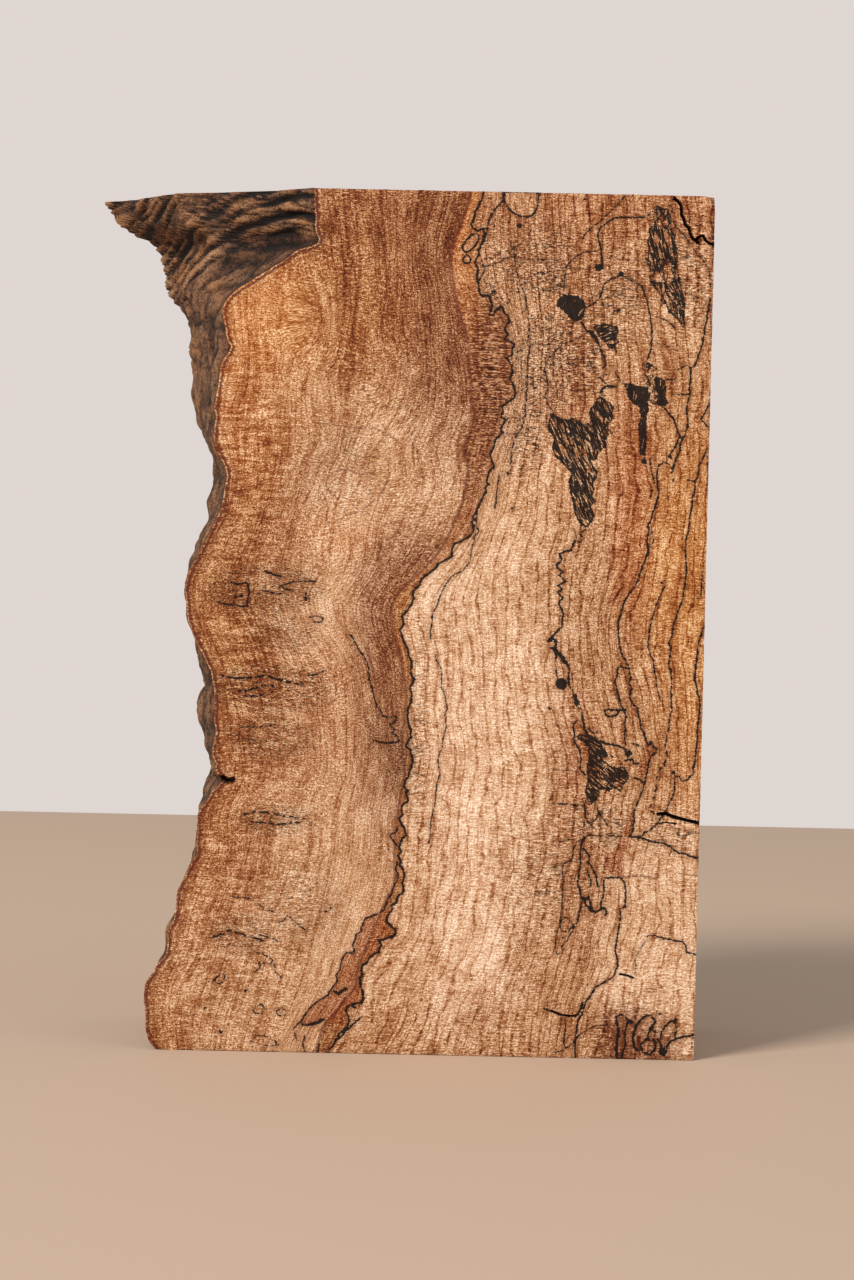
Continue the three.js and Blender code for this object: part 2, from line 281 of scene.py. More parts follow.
    (0.5, [(50, 88), (51, 86), (51.5, 82.5), (52.5, 80.5), (55, 79.5), (55.3, 76), (55, 72), (55.2, 67),
     (55, 62), (55.7, 57), (56.2, 53), (57.5, 50), (57.5, 46), (57, 43), (56.5, 42.3), (55, 44), (54.7, 46),
     (53, 47.5), (52, 50), (50.5, 52.5), (49.5, 54), (48.5, 56)]),
    (0.9, [(48.5, 56), (48.3, 59), (47.5, 62), (47, 65), (48, 68), (49, 71), (48.7, 75), (48, 79),
     (48.2, 83), (48.3, 86), (47.5, 88.5), (46.5, 90)]),
    (0.8, [(48.3, 86), (46.5, 85.5), (45, 83.5), (44.3, 81.5), (45.5, 80.3), (44, 79.5), (42.8, 77),
     (41.5, 74.5), (41, 71), (40.5, 70)]),
    (0.8, [(45.3, 77), (43.7, 73), (43.5, 70.5)]),
    (0.8, [(47, 65.5), (45.5, 65), (44.5, 66.5), (44, 64), (42.8, 61), (41.5, 59.7), (40, 60.5), (39.3, 63),
     (38.5, 67), (38.3, 70), (38.5, 73)]),
    (1.0, [(40, 60.8), (38.5, 61.8), (37.5, 61.5), (37, 60), (37.7, 58.5)]),
    (1.0, [(46.5, 66), (45.5, 63), (43.5, 60.5), (41.5, 59.7)]),
    (0.4, [(54, 57.5), (51.5, 57), (50.5, 54.5), (52.5, 51.5), (55, 52), (55.7, 55), (54, 57.5)]),
    (0.5, [(50, 88.5), (48, 89.5), (46, 91)]),
    # Loops at the lower right corner.
    (0.8, [(32, 17.5), (30.5, 18.2), (28.5, 17.7), (27.5, 16), (28, 13), (28.3, 10), (28, 6), (29, 3),
     (29.5, 0)]),
    (1.3, [(32, 17.5), (32, 15), (31, 12), (31.5, 8), (31.7, 4), (31.5, 0)]),
    (1.0, [(18, 18), (20, 18), (22.5, 16), (24, 13.5), (25, 10), (24.8, 7), (24, 4.5), (22.5, 3.5)]),
    (1.0, [(18, 18), (16.8, 17), (16.5, 15), (18, 13), (19, 10), (18.8, 8.5)]),
    (0.8, [(16, 16), (17.5, 12.5), (16, 11.5)]),
    (0.9, [(8, 15.5), (10, 15.8), (12, 14), (13.5, 11.5), (13.8, 9)]),
    (0.8, [(8, 15.5), (7.5, 13), (8, 9.5), (8.5, 8.5)]),
    (1.0, [(22, 6), (20, 8.3), (17, 8.5), (15.5, 7), (16, 4), (18, 2.3), (21, 3), (22, 6)]),
    (1.0, [(15, 8.5), (13.5, 6), (14, 3), (12.5, 1.5), (11.5, 3.5), (11, 6), (9.5, 8), (7, 9), (4, 10),
     (0, 10.8)]),
    # Bark-side wood: beside the main line, and round the long island at the foot.
    (0.7, [(143.5, 171), (142, 169), (140, 165), (138, 162.5), (136.5, 160), (135.5, 157), (135.3, 153),
     (134, 149), (133, 145), (132, 142), (130.3, 140), (129.5, 138.5)]),
    (0.7, [(130, 138), (127, 137.5), (124.5, 138), (123.5, 136.5), (126.5, 134.5), (124.5, 132.5),
     (125.5, 131), (123.5, 130), (122.8, 128)]),
    (0.8, [(129, 58), (131, 57), (133.5, 56), (135.5, 54.5), (136.5, 51.5), (136.5, 50), (138.5, 49),
     (139, 46.5), (139.7, 44.5), (139, 42), (139.5, 41), (142, 41.3), (143.3, 40), (144.2, 38), (144.7, 35),
     (146.3, 32), (146, 29.5), (147.5, 27.5), (149.5, 24), (152.5, 22), (155.5, 19.5), (157.5, 17.5),
     (159.5, 14), (161, 12), (163, 10)]),
    (0.9, [(160.3, 12.8), (159.5, 11.2), (157, 11.5)]),
    (1.5, [(157, 11.5), (154, 12.3), (151, 13.8)]),
    (1.4, [(147, 25.3), (145, 24.5), (143.5, 26), (141.5, 26.5)]),
    (0.7, [(158.5, 7), (159.3, 4), (158.3, 0)]),
    (0.5, [(163, 9.5), (162, 5)]),
    (0.7, [(152.5, 3.5), (153, 0)]),
    (0.5, [(193, 31.5), (191.5, 31), (192, 28.5), (194, 27.5), (195.5, 28.5), (194.5, 30.5), (193, 31.5)]),
    (0.5, [(180, 17), (176.5, 19.5), (175, 17.5), (176, 15.8), (179, 15.8), (180, 17)]),
    (0.5, [(170.5, 16.5), (168, 18.5), (166, 16.5), (167, 15), (169.5, 15), (170.5, 16.5)]),
    (0.45, [(181, 4), (177.5, 6.8), (173, 5.8), (170, 4), (169, 3), (172, 2.5), (177, 3)]),
    (0.4, [(180, 41), (176, 40), (174, 39), (172, 37.5), (173, 36), (178, 37), (177, 35), (179, 33),
     (180, 31)]),
    (0.4, [(171.5, 36), (171, 33), (169, 31), (168.5, 30)]),
    (0.4, [(170, 53), (168, 54), (166.5, 56), (164, 54), (161, 51.5), (159, 50)]),
    (0.4, [(178, 60), (175, 58), (172, 57.5)]),
    # Flat black flecks across the bark-side wood.
    (0.6, [(171, 190), (167, 191.5), (162, 192), (158, 191.8)]),
    (0.8, [(198, 183), (194, 182), (190, 181.5), (186, 181), (184.5, 181.5)]),
    (1.0, [(192, 191), (190, 190), (187, 190.5), (185, 190.5)]),
    (0.9, [(190.5, 184.8), (187, 185.5)]),
    (0.9, [(178.5, 195.5), (176.5, 195), (173, 194), (171.5, 193.8)]),
    (0.8, [(185, 190), (184.3, 187), (185, 184), (185.5, 181)]),
    (0.8, [(172, 189.5), (169, 188.5), (167, 187.8)]),
    (0.5, [(180, 188), (177, 187.5), (173, 186.5), (170, 187)]),
    (0.5, [(160, 177.5), (157, 178), (154, 177), (155, 175.5), (159, 175.5)]),
    (1.0, [(161.5, 187), (161.7, 184)]),
    (0.5, [(160, 153.5), (155, 155), (152, 157)]),
    (0.7, [(186, 145), (180, 144.8), (177, 146)]),
    (0.5, [(186, 128), (181, 127), (176, 126.8)]),
    (0.6, [(190, 63.5), (186, 62.8), (181, 62.5)]),
    (0.5, [(178, 48), (173, 46.5), (170, 45.5)]),
]

# Black strokes that are broken into short dashes: (width, points).
DASHED_STROKES = [
    (0.6, [(73.5, 297), (74, 292), (73, 288), (74, 284), (74, 275), (74.2, 270), (74.5, 265), (74.5, 260),
     (75.3, 256), (77.5, 253), (79, 249), (79.8, 244), (80, 238)]),
    (0.6, [(84.5, 236.5), (85.3, 230), (85.5, 226), (86, 222)]),
    (0.7, [(12.5, 143), (13.5, 139), (13.7, 135), (14.5, 131), (14.8, 128), (14, 124), (15, 121),
     (15, 119.5), (17, 118.5), (18, 115), (18.3, 112), (18.3, 108.5), (19.5, 105), (21, 102.5), (19, 101),
     (18, 100), (18, 98)]),
    (0.6, [(47.3, 90), (44, 91.5), (41, 91), (36, 91.3), (32, 91)]),
    (1.0, [(195, 153), (188, 152), (183, 152.5), (177, 153.5), (172, 152), (168, 151), (163, 150)]),
    (1.0, [(188, 147), (183, 147.5), (178, 149.5), (174, 149)]),
    (0.6, [(187, 132), (184, 132.5), (179, 132.5), (173, 133.5)]),
    (0.6, [(185, 97), (178, 98), (172, 97), (160, 95.5)]),
    (0.8, [(182, 94), (172, 93), (162, 94)]),
    (0.8, [(197, 46.5), (192, 48), (190, 49.5), (185, 48), (180, 46.5), (176, 45.5)]),
    (0.9, [(133, 128), (128, 127), (123, 127.5)]),
    (0.6, [(60, 88), (56, 88.5), (52, 89.5)]),
    (0.6, [(60, 104), (52, 103.5), (47, 103)]),
]

# Brown strokes: growth lines and closed checks that show brown and not black.
BROWN_STROKES = [
    (0.6, [(55, 350), (57, 346), (56.5, 342), (58, 336), (58.5, 330)]),
    (0.7, [(136, 167), (135.5, 163), (134, 158), (133, 153), (132.5, 151)]),
    (0.3, [(118, 255), (121, 251), (119, 246), (116.5, 244), (118, 239), (115, 234)]),
    (0.35, [(158, 256), (150, 255), (143, 254), (136, 255), (130, 252), (124, 248)]),
    (0.3, [(140, 254), (146, 252), (149, 247), (144, 243), (139, 242.5), (131, 243)]),
    (0.3, [(150, 226), (155, 231), (152, 236), (146, 238), (141, 235), (136, 236)]),
    (0.45, [(149, 214), (147, 219), (141, 220), (136, 224), (131, 229), (129, 234)]),
    (0.3, [(104, 258), (104.5, 246), (101, 238), (104, 230)]),
    (0.3, [(140, 270), (136, 264), (128, 262), (122, 264)]),
    (0.35, [(171, 226), (173, 232), (172, 238), (174, 243)]),
    (0.35, [(152, 212), (154, 218), (153, 223), (156, 228)]),
    (0.9, [(31, 34.8), (28, 34.3), (25.5, 33.3)]),
    (0.6, [(20, 29.2), (16, 29)]),
    (0.7, [(12, 95.3), (8, 94.3), (0, 93)]),
    (0.7, [(31, 74.5), (28, 74.7), (25, 75.2), (20, 74.8), (17, 74.3)]),
    (0.5, [(8, 76.5), (4, 75.8), (0, 75.5)]),
    (0.5, [(61, 118), (56, 117.5), (50, 117), (47, 115)]),
]

# Round black dots: (distance, height, radius).
DOTS = [
    (81, 237, 0.8), (79, 223, 0.7), (38, 303.5, 0.9), (39.8, 303.3, 0.6), (16, 245, 0.8), (15, 240.5, 0.7),
    (22, 234.5, 0.6), (22.8, 231.3, 0.6), (23.2, 229, 0.5), (14.3, 235.8, 0.6), (18, 194.3, 0.7),
    (57.5, 152.5, 2.4), (29.7, 124.7, 1.6), (26, 15.5, 1.0), (14.3, 18.8, 0.7), (8, 16.5, 0.9),
    (62, 142.5, 0.7), (54.5, 49.3, 0.6), (32.5, 120.5, 0.6), (196, 29, 0.5), (196.5, 28, 0.5),
    (193, 8, 0.9), (183, 25, 0.8), (199.5, 17.5, 0.6), (11, 117.5, 0.8), (52.5, 347.5, 0.7),
    (26.3, 243.3, 1.2), (46.4, 320.5, 1.6), (78.5, 336.5, 1.2), (151, 58, 0.7), (149, 59.5, 0.5),
    (88, 310, 0.9), (82.5, 305.5, 0.7),
]

# Black patches: (how open their swirls are, lie of the swirls in degrees from level, outline).
PATCHES = [
    (0.15, 60, [(62.5, 307), (60.5, 309.5), (57, 309), (54, 309), (51.8, 307), (51, 304.5), (51.5, 302),
     (52.5, 299.5), (54, 298.5), (56, 298.5), (58, 300.5), (60.5, 303), (63, 304.5)]),
    (0.55, 20, [(48.5, 296), (46, 297.8), (42, 298), (38.3, 297), (37.6, 294.8), (38.5, 292.8), (37.5, 291),
     (39, 288.8), (37.8, 286.5), (40.5, 287.5), (43, 290), (45.6, 292.5), (46.2, 294.2)]),
    (0.25, 80, [(26.3, 283.5), (24.3, 282.5), (22, 280.5), (22.8, 279), (25, 279.8), (26.5, 279),
     (26.2, 277.3), (22.5, 277.5), (19, 276), (17.8, 273), (18.2, 269.5), (16.8, 266.5), (18.5, 265),
     (21.5, 265.8), (25.2, 267), (25, 262.5), (25.7, 257.5), (25.2, 250), (25.5, 245.5), (28, 245.5),
     (28.4, 251), (29, 256.5), (28, 260.5), (28.7, 264.8), (31.5, 266.5), (33.3, 269), (34.5, 272.3),
     (36, 274.3), (32, 274.5), (29.5, 273.3), (27.3, 273.5)]),
    (0.66, 106, [(27.5, 341.7), (24, 344.5), (22, 344.8), (19.5, 344.7), (18, 342), (17.3, 339.5),
     (18.5, 337.5), (16.8, 336), (15.8, 333.5), (15.3, 330), (14.7, 326), (15, 322), (14.5, 318.5),
     (13, 315.5), (12.5, 312), (11.5, 308.5), (10.8, 305), (11.3, 301.5), (11.3, 296.5), (13.2, 298.5),
     (14, 300.5), (16.5, 302), (18, 303), (18.3, 305), (20.5, 306.5), (21, 309), (22, 311), (24, 312.8),
     (25.3, 314.5), (26, 318), (26.5, 321.5), (25.8, 322.8), (29, 322.5), (26.8, 325), (26.5, 328),
     (27.2, 331.5), (26.2, 333.5), (27, 336), (25, 337.5), (24.5, 339.5), (26, 341)]),
    (0.54, 114, [(65.5, 257), (64, 262.5), (61.5, 260.5), (58, 259.5), (55.5, 260), (52, 258.5), (50, 257),
     (48, 259), (49, 262), (47.5, 265), (45.5, 268.5), (44.5, 270), (42.5, 269.5), (42, 267), (40.3, 266.5),
     (38.8, 264.5), (39.3, 262), (39, 260), (40.8, 258), (41, 255), (38.5, 254.3), (41, 253), (42, 251),
     (40.5, 249.5), (42.5, 248), (44.5, 246), (45, 243.5), (47.5, 243), (46.5, 240.5), (44.5, 238.5),
     (45, 236), (46.5, 234.5), (46, 231.5), (46.5, 229), (45, 226.5), (47, 224.5), (45.5, 221), (46.5, 218),
     (48.5, 215.5), (51, 216.5), (52.5, 219), (54, 222.5), (54.5, 226), (56, 230), (56.5, 234),
     (55.5, 237.5), (57.5, 240), (60, 242), (62, 244), (63.5, 247.5), (62.5, 251), (65, 254.5)]),
    (0.55, 140, [(51.5, 131), (49, 132.8), (46, 131.5), (42.5, 130.5), (40, 127.5), (38, 125),
     (35.5, 123.3), (36.5, 123), (40, 123), (38.5, 121), (37, 120), (34, 119), (31, 119.5), (29.5, 117),
     (29, 114.5), (30.5, 113), (32, 112), (31.5, 109), (33, 109.5), (35.5, 110.5), (37, 109.3), (39, 110),
     (41, 109.5), (41.5, 106.5), (43, 104.5), (45, 103.8), (46, 105.5), (47, 108.5), (46.5, 111.5),
     (46, 115), (46.5, 119), (45.8, 122), (46, 127), (48.5, 129.5), (50.5, 129.8)]),
    (0.0, 90, [(52.7, 149), (51.3, 148.5), (50, 145.5), (49, 142), (50.5, 142), (52, 144.5), (52.8, 147)]),
    (0.0, 90, [(14.5, 5), (12, 5.5), (11, 3.5), (12.5, 1.3), (14.5, 2.5)]),
    (0.0, 90, [(38.5, 317), (38, 319.5), (36.5, 319), (36, 317.3)]),
]

# Pale gaps inside the black patches.
PATCH_GAPS = [
    [(19.5, 323.5), (17.5, 322.5), (17, 319.5), (16, 316), (18.5, 314.5), (19.5, 317.5), (20.5, 320.5)],
    [(24.5, 318.5), (22.5, 319.5), (20.5, 317), (20, 315.3), (22, 314.8), (24, 316)],
    [(24, 343.6), (22.7, 343.5), (21.8, 342), (23.3, 341.3)],
    [(18.3, 311), (17, 311), (12.8, 304.8), (13.6, 304.2)],
    [(26.3, 276), (25.4, 276), (22.6, 267.3), (23.4, 267)],
    [(24.2, 275.8), (23.5, 276), (21, 268.5), (21.8, 268)],
]

# Islands of deep orange-brown wood.
ORANGE_ISLES = [
    [(20.5, 130), (22.5, 129), (23.5, 126), (24.5, 121.5), (26, 118), (23.5, 113.5), (22, 118), (21, 122),
     (19, 124.5), (18.3, 126.5), (19.8, 127.5)],
    [(27, 101), (29.5, 99.5), (30.3, 96), (31.5, 93), (30, 90.5), (28.5, 90.5), (27.5, 93), (26.8, 97)],
    [(30, 90), (32.5, 89.5), (34, 86), (35.5, 84.5), (38, 84), (38.5, 82), (37.5, 79), (36.5, 76),
     (34, 74.5), (31.5, 75), (31, 80), (30.3, 84), (29.8, 87)],
    [(28.5, 144), (26.3, 143), (26.3, 140), (28, 139.5), (29, 141.5)],
    [(49.5, 129), (47.5, 129), (46, 126), (46.5, 123), (47, 121), (48.5, 121), (48.5, 125), (50, 127.5)],
    [(32.5, 139), (31.5, 136), (31.3, 129), (33.5, 128), (33.5, 134)],
    [(44.5, 64), (43, 61.5), (41.8, 60.5), (43, 63.5), (44, 65.5)],
]

# The island at the foot, between its own border and the main line.
FOOT_ISLE = [
    (128.5, 58.5), (131, 57), (133.5, 56), (135.5, 54.5), (136.5, 51.5), (136.5, 50), (138.5, 49),
    (139, 46.5), (139.7, 44.5), (139, 42), (142, 41.3), (143.3, 40), (144.2, 38), (144.7, 35), (146.3, 32),
    (146, 29.5), (147.5, 27.5), (149.5, 24), (152.5, 22), (155.5, 19.5), (157.5, 17.5), (159.5, 14),
    (160.3, 12.8), (159.5, 11.2), (157, 11.5), (154, 12.3), (151, 13.8), (147, 11), (143.5, 10.5),
    (142, 17.5), (139.5, 20), (135.5, 22), (136.3, 28), (136, 35), (133, 40), (129, 43), (129, 46.5),
    (123.5, 50), (126, 54), (124.5, 60),
]

# Islands of pale wood in thin black outlines: (outline width, outline).
PALE_ISLES = [
    (0.8, [(85.5, 349.8), (85.3, 347.5), (84, 344.5), (81.8, 341.8), (78.5, 340.2), (75, 340), (73, 341),
     (71.5, 344), (71, 346.5), (71.5, 348), (70, 349.8)]),
    (0.9, [(95, 332.5), (97, 333), (99, 331), (101, 328.5), (101.2, 326.8), (100, 325.3), (97.5, 326.5),
     (96, 328.5), (94.8, 330.5)]),
    (0.8, [(99.5, 324.5), (101, 322.8), (100.5, 321.2), (98.8, 320.8), (97.8, 322), (98.2, 323.6)]),
    (0.25, [(84, 254), (82.5, 258), (80, 260), (77, 259), (75.5, 256), (77, 253.5), (80, 252.5)]),
]

# Open cracks: (width, depth, points).
CRACKS = [
    (1.5, 4.0, [(16, 348.3), (14.5, 347), (13.7, 345.5), (13.5, 342), (12.5, 340.5), (12, 338.5),
     (10.5, 337), (9.8, 335), (9, 333), (7.5, 332), (6.8, 331.3)]),
    (1.4, 3.5, [(7.5, 332.5), (5.5, 334), (4.5, 333.8), (3.5, 332), (2, 331), (0, 330.5)]),
    (1.7, 5.0, [(16, 100.6), (14, 100.6), (10, 99.2), (5, 98), (0, 97)]),
    (0.8, 2.0, [(16.5, 96.6), (14, 97), (11, 96.8)]),
    (1.0, 2.0, [(49, 17.2), (54, 17.5), (58, 19)]),
    (1.2, 2.0, [(31, 34.8), (28, 34.3), (25.5, 33.3)]),
    (3.0, 3.5, [(196, 111), (193.5, 111.4), (191.8, 110.2), (190.3, 110.6)]),
]

# Soft tints of the wood: (tone, distance, height, spread across, spread upward), for the
# wood on the bark side, the band between the two long lines, and the pale wood.
BARK_SIDE_TINTS = [
    ("chestnut", 134, 336, 26, 18),  # brown wood under the sawn top
    ("walnut", 111, 312, 9, 38),  # dark edge beside the band
    ("umber", 146, 294, 16, 20),
    ("honey", 179, 299, 14, 18),  # warm patch under the horn
    ("amber", 190, 250, 14, 28),
    ("tan", 150, 262, 22, 13),
    ("wheat", 132, 237, 18, 14),  # pale swirl
    ("rose", 147, 219, 12, 10),
    ("chestnut", 194, 207, 18, 20),  # red-brown bulge of the live edge
    ("umber", 193, 166, 16, 20),
    ("wheat", 158, 176, 11, 14),
    ("walnut", 127, 157, 8, 34),  # dark wood beside the heart line
    ("caramel", 165, 132, 24, 22),
    ("umber", 194, 104, 13, 18),
    ("wheat", 152, 74, 16, 34),  # pale growth above the foot
    ("caramel", 200, 62, 14, 24),
    ("tan", 182, 27, 22, 16),
    ("umber", 216, 18, 8, 16),
]
BAND_TINTS = [
    ("amber", 98, 330, 10, 20),
    ("walnut", 91, 268, 9, 34),  # darkest stretch of the band
    ("caramel", 105, 212, 12, 14),
    ("umber", 121, 165, 9, 30),
    ("umber", 124, 100, 9, 34),
    ("chestnut", 138, 28, 12, 28),
]
PALE_SIDE_TINTS = [
    ("caramel", 45, 338, 34, 14),  # browner wood under the sawn top
    ("tan", 78, 300, 12, 26),
    ("tan", 20, 296, 20, 30),
    ("caramel", 57, 274, 9, 14),  # torn fibres
    ("wheat", 76, 232, 16, 26),
    ("rust", 31, 226, 5, 26),  # rust-brown streak
    ("gold", 8, 190, 10, 44),  # yellow wood along the straight side
    ("pale", 92, 186, 14, 26),
    ("tan", 52, 190, 8, 26),
    ("cream", 96, 105, 14, 55),  # palest wood
    ("pale", 72, 120, 10, 40),
    ("wheat", 114, 75, 7, 50),
    ("caramel", 50, 112, 6, 28),
    ("tan", 30, 130, 12, 26),
    ("tan", 60, 40, 10, 36),
    ("pale", 14, 54, 14, 22),
    ("tan", 100, 8, 34, 9),
    ("walnut", 26, 8, 8, 7),  # dark corner of the foot
]

# Where the surface is torn and scaly, where it is peppered with fine black flecks, where the
# curl shows, and where the grain swirls: (strength, distance, height, across, upward).
TORN_AREAS = [
    (1.0, 66, 284, 14, 16), (0.9, 55, 282, 9, 12), (0.8, 70, 322, 14, 14), (0.6, 88, 300, 5, 40),
    (0.6, 75, 255, 10, 18), (0.5, 40, 310, 14, 20), (0.5, 8, 320, 9, 20), (0.6, 42, 96, 12, 9),
    (0.5, 115, 130, 4, 40), (0.4, 60, 75, 20, 16), (0.5, 10, 93, 12, 8),
]
PEPPERED_AREAS = [
    (1.0, 178, 188, 18, 8), (1.0, 175, 148, 20, 8), (0.7, 175, 128, 16, 8), (0.6, 172, 95, 16, 6),
    (0.6, 185, 48, 12, 8), (0.6, 122, 120, 6, 14), (0.5, 170, 170, 14, 8), (0.5, 130, 132, 8, 10),
    (0.4, 160, 60, 20, 20), (0.4, 150, 235, 22, 20),
]
CURLY_AREAS = [
    (1.0, 188, 240, 16, 40), (0.8, 185, 150, 20, 50), (0.25, 100, 170, 22, 50), (0.25, 88, 100, 26, 40),
    (0.6, 185, 60, 28, 45), (0.5, 205, 15, 18, 20), (0.3, 40, 225, 14, 18),
]
SWIRLING_AREAS = [
    (0.9, 165, 290, 20, 24), (0.7, 140, 245, 24, 22), (0.5, 130, 300, 18, 26), (0.5, 150, 205, 20, 16),
    (0.3, 170, 120, 25, 40),
]


# ---------------------------------------------------------------------------------------------
# Settings
# ---------------------------------------------------------------------------------------------


def tone_property(name, description, default):
    return FloatVectorProperty(
        name=name, description=description, default=default, size=3, min=0.0, max=1.0,
        subtype="COLOR_GAMMA",
    )


class BurlSettings(bpy.types.PropertyGroup):
    """Sizes and colours of the burl block"""

    front_spacing: FloatProperty(
        name="Front Spacing", description="Distance between mesh points on the front face",
        default=1.6 * MM, min=0.5 * MM, unit="LENGTH",
    )
    side_spacing: FloatProperty(
        name="Side Spacing", description="Distance between mesh points on the other sawn faces",
        default=2.3 * MM, min=0.5 * MM, unit="LENGTH",
    )
    bark_columns: IntProperty(
        name="Bark Columns", description="Mesh columns of the bark, from front to back",
        default=60, min=8,
    )
    bark_rows: IntProperty(
        name="Bark Rows", description="Mesh rows of the bark, from foot to top",
        default=290, min=8,
    )
    bark_relief: FloatProperty(
        name="Bark Relief", description="Height of the small lumps and fissures of the bark",
        default=1.0 * MM, min=0.0, unit="LENGTH",
    )
    edge_wear: FloatProperty(
        name="Edge Wear", description="How far the sawn edges are worn in",
        default=0.3 * MM, min=0.0, unit="LENGTH",
    )
    cream: tone_property("Cream", "Palest wood", (0.895, 0.745, 0.62))
    pale: tone_property("Pale", "Pale wood", (0.86, 0.70, 0.56))
    wheat: tone_property("Wheat", "Pale wood, a shade darker", (0.80, 0.615, 0.46))
    rose: tone_property("Rose", "Pinkish wood of the burl's middle", (0.815, 0.61, 0.45))
    tan: tone_property("Tan", "Middle tone of the wood", (0.735, 0.54, 0.38))
    gold: tone_property("Gold", "Golden wood beside the straight side", (0.76, 0.52, 0.30))
    honey: tone_property("Honey", "Bright orange wood", (0.80, 0.55, 0.33))
    caramel: tone_property("Caramel", "Brown wood", (0.67, 0.44, 0.275))
    amber: tone_property("Amber", "Orange-brown wood", (0.70, 0.44, 0.24))
    rust: tone_property("Rust", "Red-brown wood", (0.70, 0.44, 0.265))
    umber: tone_property("Umber", "Dark brown wood", (0.62, 0.378, 0.195))
    chestnut: tone_property("Chestnut", "Darker brown wood", (0.56, 0.327, 0.17))
    walnut: tone_property("Walnut", "Darkest brown wood", (0.51, 0.287, 0.155))
    orange: tone_property("Orange", "Small islands of decayed wood", (0.60, 0.32, 0.15))
    ink: tone_property("Ink", "Black spalting lines and patches", (0.045, 0.025, 0.03))
    cambium: tone_property("Cambium", "Dark line under the bark", (0.36, 0.15, 0.11))
    # Dark bark is also painted shade in the bark's furrows and the open cracks; light bark is partly a
    # painted highlight on the crests.
    bark_dark_and_shade: tone_property("Dark Bark", "Grooves and weathered patches", (0.10, 0.07, 0.065))
    bark_mid: tone_property("Bark", "Middle tone of the bark", (0.42, 0.28, 0.20))
    bark_light_and_highlight: tone_property("Light Bark", "Crests and rubbed bark", (0.74, 0.56, 0.41))


class StageSettings(bpy.types.PropertyGroup):
    """Floor, light and camera"""

    floor_tone: tone_property("Floor", "Colour of the floor", (0.73, 0.64, 0.57))
    room_tone: tone_property("Room", "Colour seen behind the floor", (0.875, 0.84, 0.825))
    key_power: FloatProperty(
        name="Key Power", description="Strength of the main lamp", default=150.0, min=0.0,
        unit="POWER",
    )
    fill_power: FloatProperty(
        name="Fill Power", description="Strength of the lamp on the other side", default=6.0,
        min=0.0, unit="POWER",
    )
    sky_strength: FloatProperty(
        name="Sky Strength", description="Strength of the light from all round", default=0.5,
        min=0.0,
    )
    lens: FloatProperty(
        name="Lens", description="Focal length of the camera in millimetres", default=85.0,
        min=10.0,
    )
    distance: FloatProperty(
        name="Distance", description="From the camera to the front face", default=1.2204,
        min=0.1, unit="LENGTH",
    )
    eye_height: FloatProperty(
        name="Eye Height", description="Height of the camera above the floor", default=0.228,
        unit="LENGTH",
    )
    eye_side: FloatProperty(
        name="Eye Offset", description="From the straight sawn side, leftward, to the camera",
        default=0.1122, unit="LENGTH",
    )
    pitch: FloatProperty(
        name="Pitch", description="How far the camera looks down", default=math.radians(2.761),
        unit="ROTATION",
    )
    roll: FloatProperty(
        name="Roll", description="How far the camera leans", default=math.radians(1.194),
        unit="ROTATION",
    )


def linear(tone):
    """A display colour as the linear colour that shaders use."""
    values = np.asarray(tone[:3], float)
    return np.where(values <= 0.04045, values / 12.92, ((values + 0.055) / 1.055) ** 2.4)


# ---------------------------------------------------------------------------------------------
# Geometry helpers, in the block's own millimetres
# ---------------------------------------------------------------------------------------------


def smoothstep(value, low, high):
    share = np.clip((value - low) / (high - low), 0.0, 1.0)
    return share * share * (3.0 - 2.0 * share)


def to_scene(points):
    """Block coordinates as Blender ones, in metres."""
    points = np.asarray(points, float)
    return np.stack([
        CAD_HIGH.x - points[:, 0] * MM,
        CAD_LOW.y + points[:, 1] * MM,
        CAD_LOW.z + points[:, 2] * MM,
    ], axis=1)


def wander(across, up):
    """How the figure strays from straight through the block, at the back face."""
    turn = 2.0 * np.pi
    sideways = FIGURE_WANDER * np.sin(turn * (up / 97.0 + across / 211.0))
    upward = FIGURE_WANDER * np.cos(turn * (across / 83.0 + up / 173.0))
    return sideways, upward


def figure_place(points):
    """Where on the front face's figure each point of the block belongs, and the figure's scale."""
    across, depth, up = points[:, 0], points[:, 1], points[:, 2]
    share = depth / DEPTH
    scale = 1.0 - FIGURE_CLOSING * share
    sideways, upward = wander(across, up)
    place = np.stack([
        FIGURE_CENTRE[0] + (across - FIGURE_CENTRE[0]) * scale + sideways * share,
        FIGURE_CENTRE[1] + (up - FIGURE_CENTRE[1]) * scale + upward * share,
    ], axis=1)
    return place, scale


def inside(points, outline):
    """Which points lie inside a closed outline."""
    outline = np.asarray(outline, float)
    result = np.zeros(len(points), bool)
    x, y = points[:, 0], points[:, 1]
    for (x0, y0), (x1, y1) in zip(outline, np.roll(outline, -1, axis=0)):
        if y0 == y1:
            continue
        straddles = (y0 > y) != (y1 > y)
        result ^= straddles & (x < x0 + (y - y0) * (x1 - x0) / (y1 - y0))
    return result


def distance_to(points, line, best, margin=0.0, reach=12.0):
    """Lowers best to each point's distance from a line, less margin at each of its points."""
    line = np.asarray(line, float)
    margin = np.broadcast_to(np.asarray(margin, float), (len(line),))
    low, high = line.min(axis=0) - reach, line.max(axis=0) + reach
    near = np.flatnonzero(np.all((points > low) & (points < high), axis=1))
    if not len(near):
        return
    here = points[near]
    found = best[near]
    for start, end, edge0, edge1 in zip(line[:-1], line[1:], margin[:-1], margin[1:]):
        step = end - start
        length = max(float(step @ step), 1e-9)
        share = np.clip(((here - start) @ step) / length, 0.0, 1.0)
        gap = np.linalg.norm(here - start - share[:, None] * step, axis=1)
        found = np.minimum(found, gap - (edge0 + share * (edge1 - edge0)))
    best[near] = found


